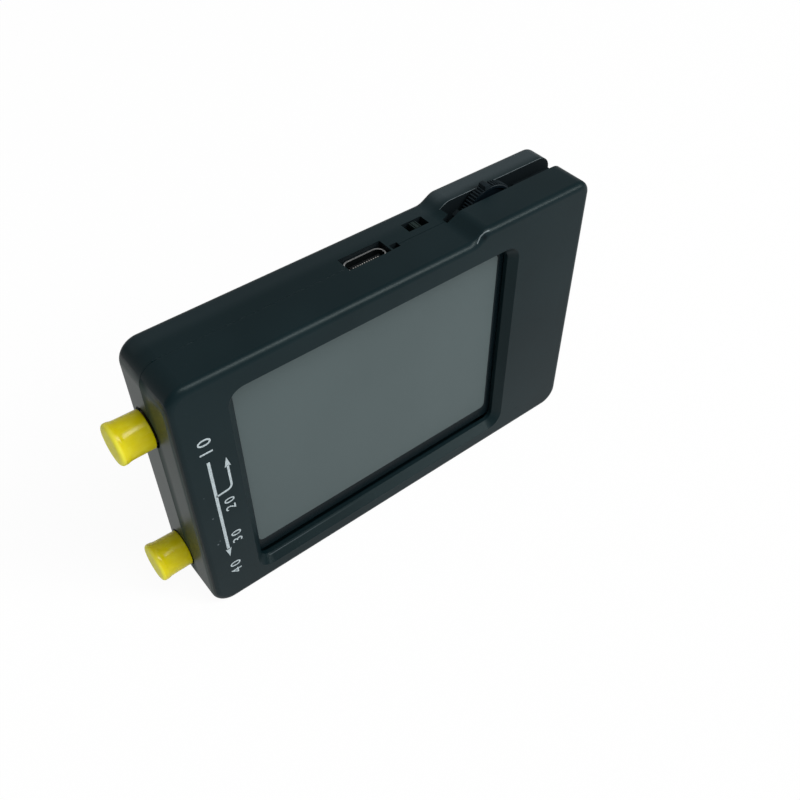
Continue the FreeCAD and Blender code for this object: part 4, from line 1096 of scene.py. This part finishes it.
@dataclass
class SignalPorts:
    """Two threaded coaxial connectors, each under a soft push-on cap.

    The cap's outline is (radius, along from its mouth) on the skirt and (radius, depth from its end) on the face.
    """

    axis_depth: float = 2.4
    heights: dict[Port, float] = field(default_factory=lambda: {Port.UPPER: 44.3, Port.LOWER: 9.0})
    mouths: dict[Port, float] = field(default_factory=lambda: {Port.UPPER: -47.3, Port.LOWER: -47.05})
    tip: float = -52.6
    flange: Pair = (-44.7, -42.8)
    flange_side: float = 6.35
    flange_reach: float = 1.36
    flange_steps: int = 64
    major: float = 3.17
    core: float = 2.78
    bore: float = 2.3
    pitch: float = 0.7056
    sunk: float = 0.02
    legs: Pair = (1.0, 4.2)
    board: Pair = (3.05, 4.65)
    cap_length: float = 6.6
    cap_bore: float = 3.235
    cap_radius: float = 4.02
    cap_edge: float = 0.7
    skirt: tuple[Pair, ...] = (
        (3.752, 0.22), (3.755, 0.4), (3.77, 1.4), (3.79, 2.8), (3.815, 4.1), (3.83, 4.5), (3.855, 4.75),
        (3.89, 4.92), (3.935, 5.08), (3.97, 5.2), (4.0, 5.34), (4.015, 5.5), (4.02, 5.7))
    cap_face: tuple[Pair, ...] = (
        (2.6, 0.01), (1.6, 0.0), (0.62, 0.0), (0.55, 0.01), (0.45, 0.05), (0.0, 0.06), (0.0, 0.7), (2.835, 0.7),
        (3.235, 1.05))

    def build(self) -> None:
        """Make both ports."""
        # the barrel is darkened where it meets the case as painted shade
        gold = PlatedMetal("gold_plate_shaded_root", (0.68, 0.46, 0.17), (0.055, 0.040, 0.020), 0.27, (1, 1, 1),
                           (Axis.X, -48.2, -47.6)).build()
        vinyl = CapVinyl("cap_vinyl", (0.69, 0.59, 0.0), (0.78, 0.73, 0.05)).build()
        for port in Port:
            self.make_connector(port, gold)
            self.make_cap(port, vinyl)
        dress(Package("white_insulator", (0.72, 0.72, 0.70), (0.0, 0.0)), "rf_insulator_upper",
              "rf_insulator_lower")
        dress(PlatedMetal("gold_contact", (0.86, 0.62, 0.26), (0.6, 0.4, 0.15), 0.18, (0.2, 1, 1)),
              "rf_contact_upper", "rf_contact_lower")

    def make_connector(self, port: Port, metal: Material) -> None:
        """Barrel, flange and solder legs, with the thread wound on by a recipe."""
        height, depth = self.heights[port], self.axis_depth
        name = f"rf_connector_{port.value}"
        reach = self.flange[0] - self.tip
        shape = lathe([(self.bore, 0.12), (self.bore + 0.12, 0), (self.core - 0.16, 0), (self.core, 0.2),
                       (self.core, reach), (self.bore, reach)], (self.tip, depth, height), Axis.X)
        half = self.flange_side / 2
        rings = []
        for square, end in ((True, 0), (True, 1), (False, 1), (False, 0)):
            ring = []
            for step in range(self.flange_steps):
                angle = 2 * math.pi * step / self.flange_steps
                across, up = math.cos(angle), math.sin(angle)
                out = min(half / max(abs(across), abs(up)), half * self.flange_reach) if square else self.bore
                ring.append((self.flange[end], depth + out * across, height + out * up))
            rings.append(ring)
        loft(shape, rings + rings[:1], caps=False)
        wide, long = self.legs
        start = sum(self.flange) / 2
        for near, far in ((depth - half, self.board[0]), (self.board[1], depth + half)):
            for low in (height - half, height + half - wide):
                soft_box(shape, (start, near, low), (self.flange[1] + long, far, low + wide), 0.1, 2)
        turns = (reach - 0.7) / self.pitch
        recipe = Recipe(name, Body=from_bmesh(f"{name}_body", shape), Finish=metal,
                        Radius=(self.core + self.sunk) * MM, Turns=turns, Length=turns * self.pitch * MM,
                        Ridge=(self.major - self.core - self.sunk) * MM)
        thread = spiral_thread(recipe, Axis.X, tuple(level * MM for level in (self.tip + 0.35, depth, height)))
        made = recipe.grow(f"threaded_port_{port.value}", recipe.joined(recipe.shape_of("Body"), thread), 38.0)
        place(made, "case", "port_gold", replaces=[name])

    def make_cap(self, port: Port, material: Material) -> None:
        """The moulded cap: a slim skirt, a stepped rim and a softly domed closed end."""
        end, bore, edge = self.cap_length, self.cap_bore, self.cap_edge
        profile = [(bore, 0.18), (bore + 0.16, 0.0), (3.62, 0.0), *arc((3.60, 0.15), 0.15, -80, 0, 3), *self.skirt,
                   *arc((self.cap_radius - edge, end - edge - 0.02), edge, 0, 84, 8),
                   *((radius, end - deep) for radius, deep in self.cap_face)]
        shape = lathe([(radius, -along) for radius, along in profile],
                      (self.mouths[port], self.axis_depth, self.heights[port]), Axis.X, 128)
        body = f"dust_cap_{port.value}"
        place(from_bmesh(f"vinyl_cap_{port.value}", shape, 50.0), body, "cap_yellow", material, replaces=[body])


@dataclass
class TopControls:
    """The charging socket, the power switch, the jog wheel and the light windows.

    The nub's root and top are each (reach from the wheel's centre, half width).
    """

    wheel_centre: Point = (28.9, 1.75, 56.1)
    wheel_radius: float = 6.4
    wheel_half: float = 1.0
    rim_width: float = 0.9
    dish: float = 0.35
    hub_radius: float = 1.7
    bore: float = 0.9
    root_depth: float = 0.24
    teeth: int = 60
    tooth_radius: float = 0.19
    tooth_sides: int = 10
    tooth_inset: float = 0.24
    nub_angle: float = 9.0
    nub_root: Pair = (5.82, 0.85)
    nub_top: Pair = (6.9, 0.5)
    nub_edge: float = 0.12
    mouth: float = 58.75
    tongue_middle: Pair = (-1.0, 1.42)
    tongue_half: float = 0.35
    tongue_tip: float = 58.3
    contacts: int = 12
    contact_spacing: float = 0.5
    contact_width: float = 0.27
    contact_rise: float = 0.06
    contact_length: float = 3.2
    contact_lip: float = 0.04
    contact_bend: float = 0.26
    contact_sunk: float = 0.16

    def build(self) -> None:
        """Dress the nodes, then make the contacts and the wheel."""
        # the shell is darkened inside below its mouth as painted shade
        dress(PlatedMetal("socket_nickel", (0.93, 0.95, 0.94), (0.012, 0.016, 0.017), 0.42, (1, 1, 0.2),
                          (Axis.Z, self.mouth - 0.04, self.mouth - 0.1)), "socket_shell")
        dress(MouldedPlastic("black_socket_plastic", (0.004, 0.005, 0.006), 0.5, 1.2, dust=0.1), "socket_tongue",
              "battery_socket", "battery_plug")
        dress(MouldedPlastic("switch_plastic", (0.006, 0.014, 0.013), 0.36, dust=0.2), "power_switch_body",
              "power_switch_knob")
        dress(PlatedMetal("pin_steel", (0.55, 0.55, 0.56), (0.35, 0.35, 0.36), 0.2, (1, 0.2, 1)), "jog_pivot_pin",
              "jog_leaf_spring")
        dress(ClearPlastic("light_lens", (0.75, 0.77, 0.72), 0.25, 0.5), "charge_light", "status_light")
        self.make_contacts()
        self.make_wheel(dress(WheelPlastic("jog_plastic", (0.0012, 0.0036, 0.0058), 0.36, 1.18, (0.86, 1.0, 1.0),
                                           dust=0.15), "jog_base", "jog_carrier"))

    def make_contacts(self) -> None:
        """Two rows of sprung contacts along the tongue, the near one bent over its tip."""
        middle, axis = self.tongue_middle
        half, face, tip = self.contact_width / 2, self.tongue_half, self.tongue_tip
        shape = bmesh.new()
        for near, foot in ((face, tip - self.contact_length), (face - self.contact_bend, tip - 0.02)):
            soft_box(shape, (-half, near, foot), (half, face + self.contact_rise, tip + self.contact_lip), 0.02, 2)
        metal = PlatedMetal("contact_gold", (0.98, 0.96, 0.90), (0.85, 0.80, 0.66), 0.2, (1, 1, 0.2))
        recipe = Recipe("SocketContacts", Blank=from_bmesh("contact_blank", shape), Finish=metal.build(),
                        Count=self.contacts, Spacing=self.contact_spacing * MM)
        step = recipe.add("ShaderNodeCombineXYZ", {}, {"X": recipe["Spacing"]})
        spots = recipe.add("GeometryNodeMeshLine", {"mode": "OFFSET"}, {"Count": recipe["Count"], "Offset": step},
                           out="Mesh")
        row = recipe.copied(recipe.shape_of("Blank"), spots)
        first = middle - (self.contacts - 1) / 2 * self.contact_spacing
        back = recipe.moved(row, (first * MM, axis * MM, -self.contact_sunk * MM))
        front = recipe.moved(row, ((2 * middle - first) * MM, axis * MM, 0.0), (0.0, 0.0, math.pi))
        made = recipe.grow("socket_contact_rows", recipe.joined(back, front))
        place(made, "case", "contact_gold", replaces=["socket_contacts"])

    def make_wheel(self, material: Material) -> None:
        """The jog wheel: a dished disc with a bored hub, rounded ridges round its rim and a thumb nub."""
        half, radius, hub = self.wheel_half, self.wheel_radius, self.hub_radius
        root, inner, floor = radius - self.root_depth, radius - self.rim_width, half - self.dish
        side = [(self.bore, half - 0.1), (self.bore + 0.1, half), (hub - 0.12, half), (hub, half - 0.12),
                (hub, floor), (inner, floor), (inner, half - 0.08), (inner + 0.08, half), (root - 0.22, half),
                (root - 0.07, half - 0.06), (root, half - 0.2)]
        shape = lathe(side + [(across, -level) for across, level in reversed(side)], (0, 0, 0), Axis.Y, 120)
        turn = math.radians(self.nub_angle)
        out, along = Vector((-math.sin(turn), 0, math.cos(turn))), Vector((math.cos(turn), 0, math.sin(turn)))
        rings = []
        for (reach, spread), edge in ((self.nub_root, 0.0), (self.nub_top, 0.0), (self.nub_top, self.nub_edge)):
            reach, spread, deep = reach + edge * 0.4, spread - edge, half - 0.02 - edge
            rings.append([tuple(out * reach + along * spread * a + Vector((0, deep * b, 0))) for a, b in SQUARE])
        loft(shape, rings)
        recipe = Recipe("JogWheel", Disc=from_bmesh("wheel_disc", shape), Finish=material, Teeth=self.teeth,
                        Tooth=self.tooth_radius * MM, Pitch=(radius - self.tooth_radius) * MM,
                        Length=(2 * half - self.tooth_inset) * MM)
        circle = recipe.add("GeometryNodeMeshCircle", {}, {"Vertices": recipe["Teeth"], "Radius": recipe["Pitch"]})
        tooth = recipe.add("GeometryNodeMeshCylinder", {"fill_type": "NGON"}, {
            "Vertices": self.tooth_sides, "Radius": recipe["Tooth"], "Depth": recipe["Length"]}, out="Mesh")
        knurl = recipe.moved(recipe.copied(tooth, circle), (0.0, 0.0, 0.0), (math.pi / 2, 0.0, 0.0))
        centre = tuple(level * MM for level in self.wheel_centre)
        whole = recipe.moved(recipe.joined(recipe.shape_of("Disc"), knurl), centre)
        place(recipe.grow("knurled_jog_wheel", whole, 40.0), "jog_wheel", "jog_black", replaces=["jog_wheel"])


@dataclass
class Electronics:
    """The main board, its parts and the battery, seen only with the case open."""

    dot_inset: float = 0.8

    def build(self) -> None:
        """Dress the nodes by what each is made of."""
        dress(BoardMask("board_solder_mask", (0.004, 0.006, 0.007), (0.016, 0.022, 0.024)), "main_board",
              "battery_guard")
        for node in self.nodes_in("chip_black"):
            box = Box.of(node)
            dot = (box.low.x + self.dot_inset, box.high.z - self.dot_inset)
            dress(Package(f"{node}_package", (0.016, 0.016, 0.017), dot), node)
        for node in self.nodes_in("capacitor_tan"):
            dress(Package(f"{node}_ceramic", (0.30, 0.21, 0.12), (0.0, 0.0)), node)
        dress(PlatedMetal("tinned_shield", (0.66, 0.67, 0.67), (0.45, 0.45, 0.44), 0.3, (0.2, 1, 1)),
              *self.nodes_in("tray_metal"))
        dress(Foil("battery_foil", (0.62, 0.63, 0.65)), *self.nodes_in("pouch_foil"))
        dress(Foam("black_tape_foam", (0.015, 0.015, 0.016)), *self.nodes_in("foam_black"))
        dress(Sheath("battery_lead_sheath", (0.35, 0.012, 0.01), (0.012, 0.012, 0.013),
                     Box.of("battery_leads").middle.x), "battery_leads")
        dress(MouldedPlastic("ivory_plug", (0.60, 0.56, 0.45), 0.45, 1.5, dust=0.05),
              *self.nodes_in("connector_ivory"))
        left = sorted(set(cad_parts) - DRESSED)
        if left:
            log.warning("bare nodes: %s", left)

    @staticmethod
    def nodes_in(slot: str) -> list[str]:
        """The nodes that still wear the CAD's material of a name."""
        return sorted(node for node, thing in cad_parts.items()
                      if any(worn and worn.name.split(".")[0] == slot for worn in thing.data.materials))


def by_ray(tree: Tree, plain: Wire, mirrored: Wire, seen: Wire, share: float = 1.0) -> Wire:
    """Join the shaders that a surface or a sky has for different rays.

    Args:
        tree: the node tree.
        plain: what lights the object.
        mirrored: what its reflections and clear parts show.
        seen: what the camera sees.
        share: how much of the last two replaces the first.

    Returns:
        The joined shader.
    """
    camera = tree.add("ShaderNodeLightPath", out="Is Camera Ray")
    bounced = (camera.part("Is Glossy Ray") + camera.part("Is Transmission Ray")).least(1.0)
    both = tree.add("ShaderNodeMixShader", {}, {0: share * bounced, 1: plain, 2: mirrored})
    return tree.add("ShaderNodeMixShader", {}, {0: share * camera, 1: both, 2: seen})


@dataclass
class Studio:
    """A pale floor in a white room, a strip lamp and the camera.

    The walls light the object by one set of strengths (everywhere, more in front, more low behind) and show in its
    reflections by another (everywhere, more behind).
    """

    camera_place: Point = (-77.05, -105.13, 158.75)
    tilt: float = 43.74
    turn: float = -38.29
    lens: float = 40.59
    sensor: float = 36.0
    floor_half: float = 3.0
    floor_dim: float = 0.66
    floor_share: float = 0.95
    light: Point = (0.16, 1.2, 1.1)
    mirrored: Pair = (0.11, 0.27)
    lamp: tuple[Point, Point] = ((-0.06, -0.22, 0.875), (0.58, -0.571, 0.36))
    lamp_width: float = 0.18
    lamp_power: float = 6.2
    lamp_aim: Point = (0.0, 0.0, 0.05)

    def build(self) -> None:
        """Make the floor, the room, the lamp and the camera."""
        half = self.floor_half
        floor = bpy.data.meshes.new("floor")
        floor.from_pydata([(half * across, half * along, 0) for across, along in SQUARE], [], [(2, 1, 0, 3)])
        thing = new_object("floor", floor)
        floor.materials.append(self.floor_material())
        self.make_room()
        self.make_lamp()
        self.make_camera()
        bpy.context.scene.view_settings.view_transform = "Standard"

    def make_room(self) -> None:
        """The world: brighter in front of the object and low behind it."""
        world = bpy.data.worlds.new("room")
        world.use_nodes = True
        bpy.context.scene.world = world
        tree = Tree(world.node_tree)
        world.node_tree.nodes.clear()
        way = tree.add("ShaderNodeTexCoord", out="Generated")
        forward = tree.add("ShaderNodeSeparateXYZ", inputs={"Vector": way}, out="Y")
        low = 1 - forward.part("Z").rise(0.0, 0.45)
        base, front, rear = self.light
        light = base + front * (0.0 - forward).rise(0.3, 0.95) + rear * (forward.rise(0.3, 0.95) * low)
        wall = self.mirrored[0] + self.mirrored[1] * forward.rise(0.0, 0.5)
        shades = [tree.add("ShaderNodeBackground", {}, {"Color": WHITE, "Strength": strength})
                  for strength in (light, wall, 1.0)]
        output = world.node_tree.nodes.new("ShaderNodeOutputWorld")
        world.node_tree.links.new(by_ray(tree, *shades).socket, output.inputs["Surface"])

    def make_lamp(self) -> None:
        """A long soft strip lamp that faces the object."""
        data = bpy.data.lights.new("strip_lamp", "AREA")
        data.shape = "RECTANGLE"
        start, end = (Vector(point) for point in self.lamp)
        run, middle = end - start, (start + end) / 2
        data.size, data.size_y = run.length, self.lamp_width
        data.energy = self.lamp_power
        across = run.normalized()
        away = middle - Vector(self.lamp_aim)
        away = (away - across * away.dot(across)).normalized()
        thing = new_object("strip_lamp", data)
        thing.location = middle
        thing.rotation_euler = Matrix((across, away.cross(across), away)).transposed().to_euler()

    def make_camera(self) -> None:
        """The camera, at its solved pose."""
        camera = bpy.data.cameras.new("camera")
        camera.lens = self.lens
        camera.sensor_width = self.sensor
        camera.clip_start = 0.01
        viewer = new_object("camera", camera)
        viewer.location = [level * MM for level in self.camera_place]
        viewer.rotation_euler = (math.radians(self.tilt), 0.0, math.radians(self.turn))
        bpy.context.scene.camera = viewer

    def floor_material(self) -> Material:
        """White to the eye, with a share of plain diffuse that holds the object's shadow."""
        graph = Graph("floor_white")
        colour = graph.mix(graph.noise(60.0, 3.0), (0.88, 0.88, 0.88), (0.90, 0.90, 0.90))
        diffuse = graph.add("ShaderNodeBsdfDiffuse", {}, {"Color": colour, "Roughness": 0.5})
        dim, glow = (graph.add("ShaderNodeEmission", {}, {"Color": WHITE, "Strength": strength})
                     for strength in (self.floor_dim, 1.0))
        graph.add_output(by_ray(graph, diffuse, dim, glow, self.floor_share))
        return graph.material


def main() -> None:
    """Build every sub-assembly and the studio."""
    logging.basicConfig(level=logging.INFO, format="%(message)s")
    for part in (Case(), Display(), SignalPorts(), TopControls(), Electronics(), Studio()):
        log.info("building %s", type(part).__name__)
        part.build()
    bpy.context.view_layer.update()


if __name__ == "__main__":
    main()
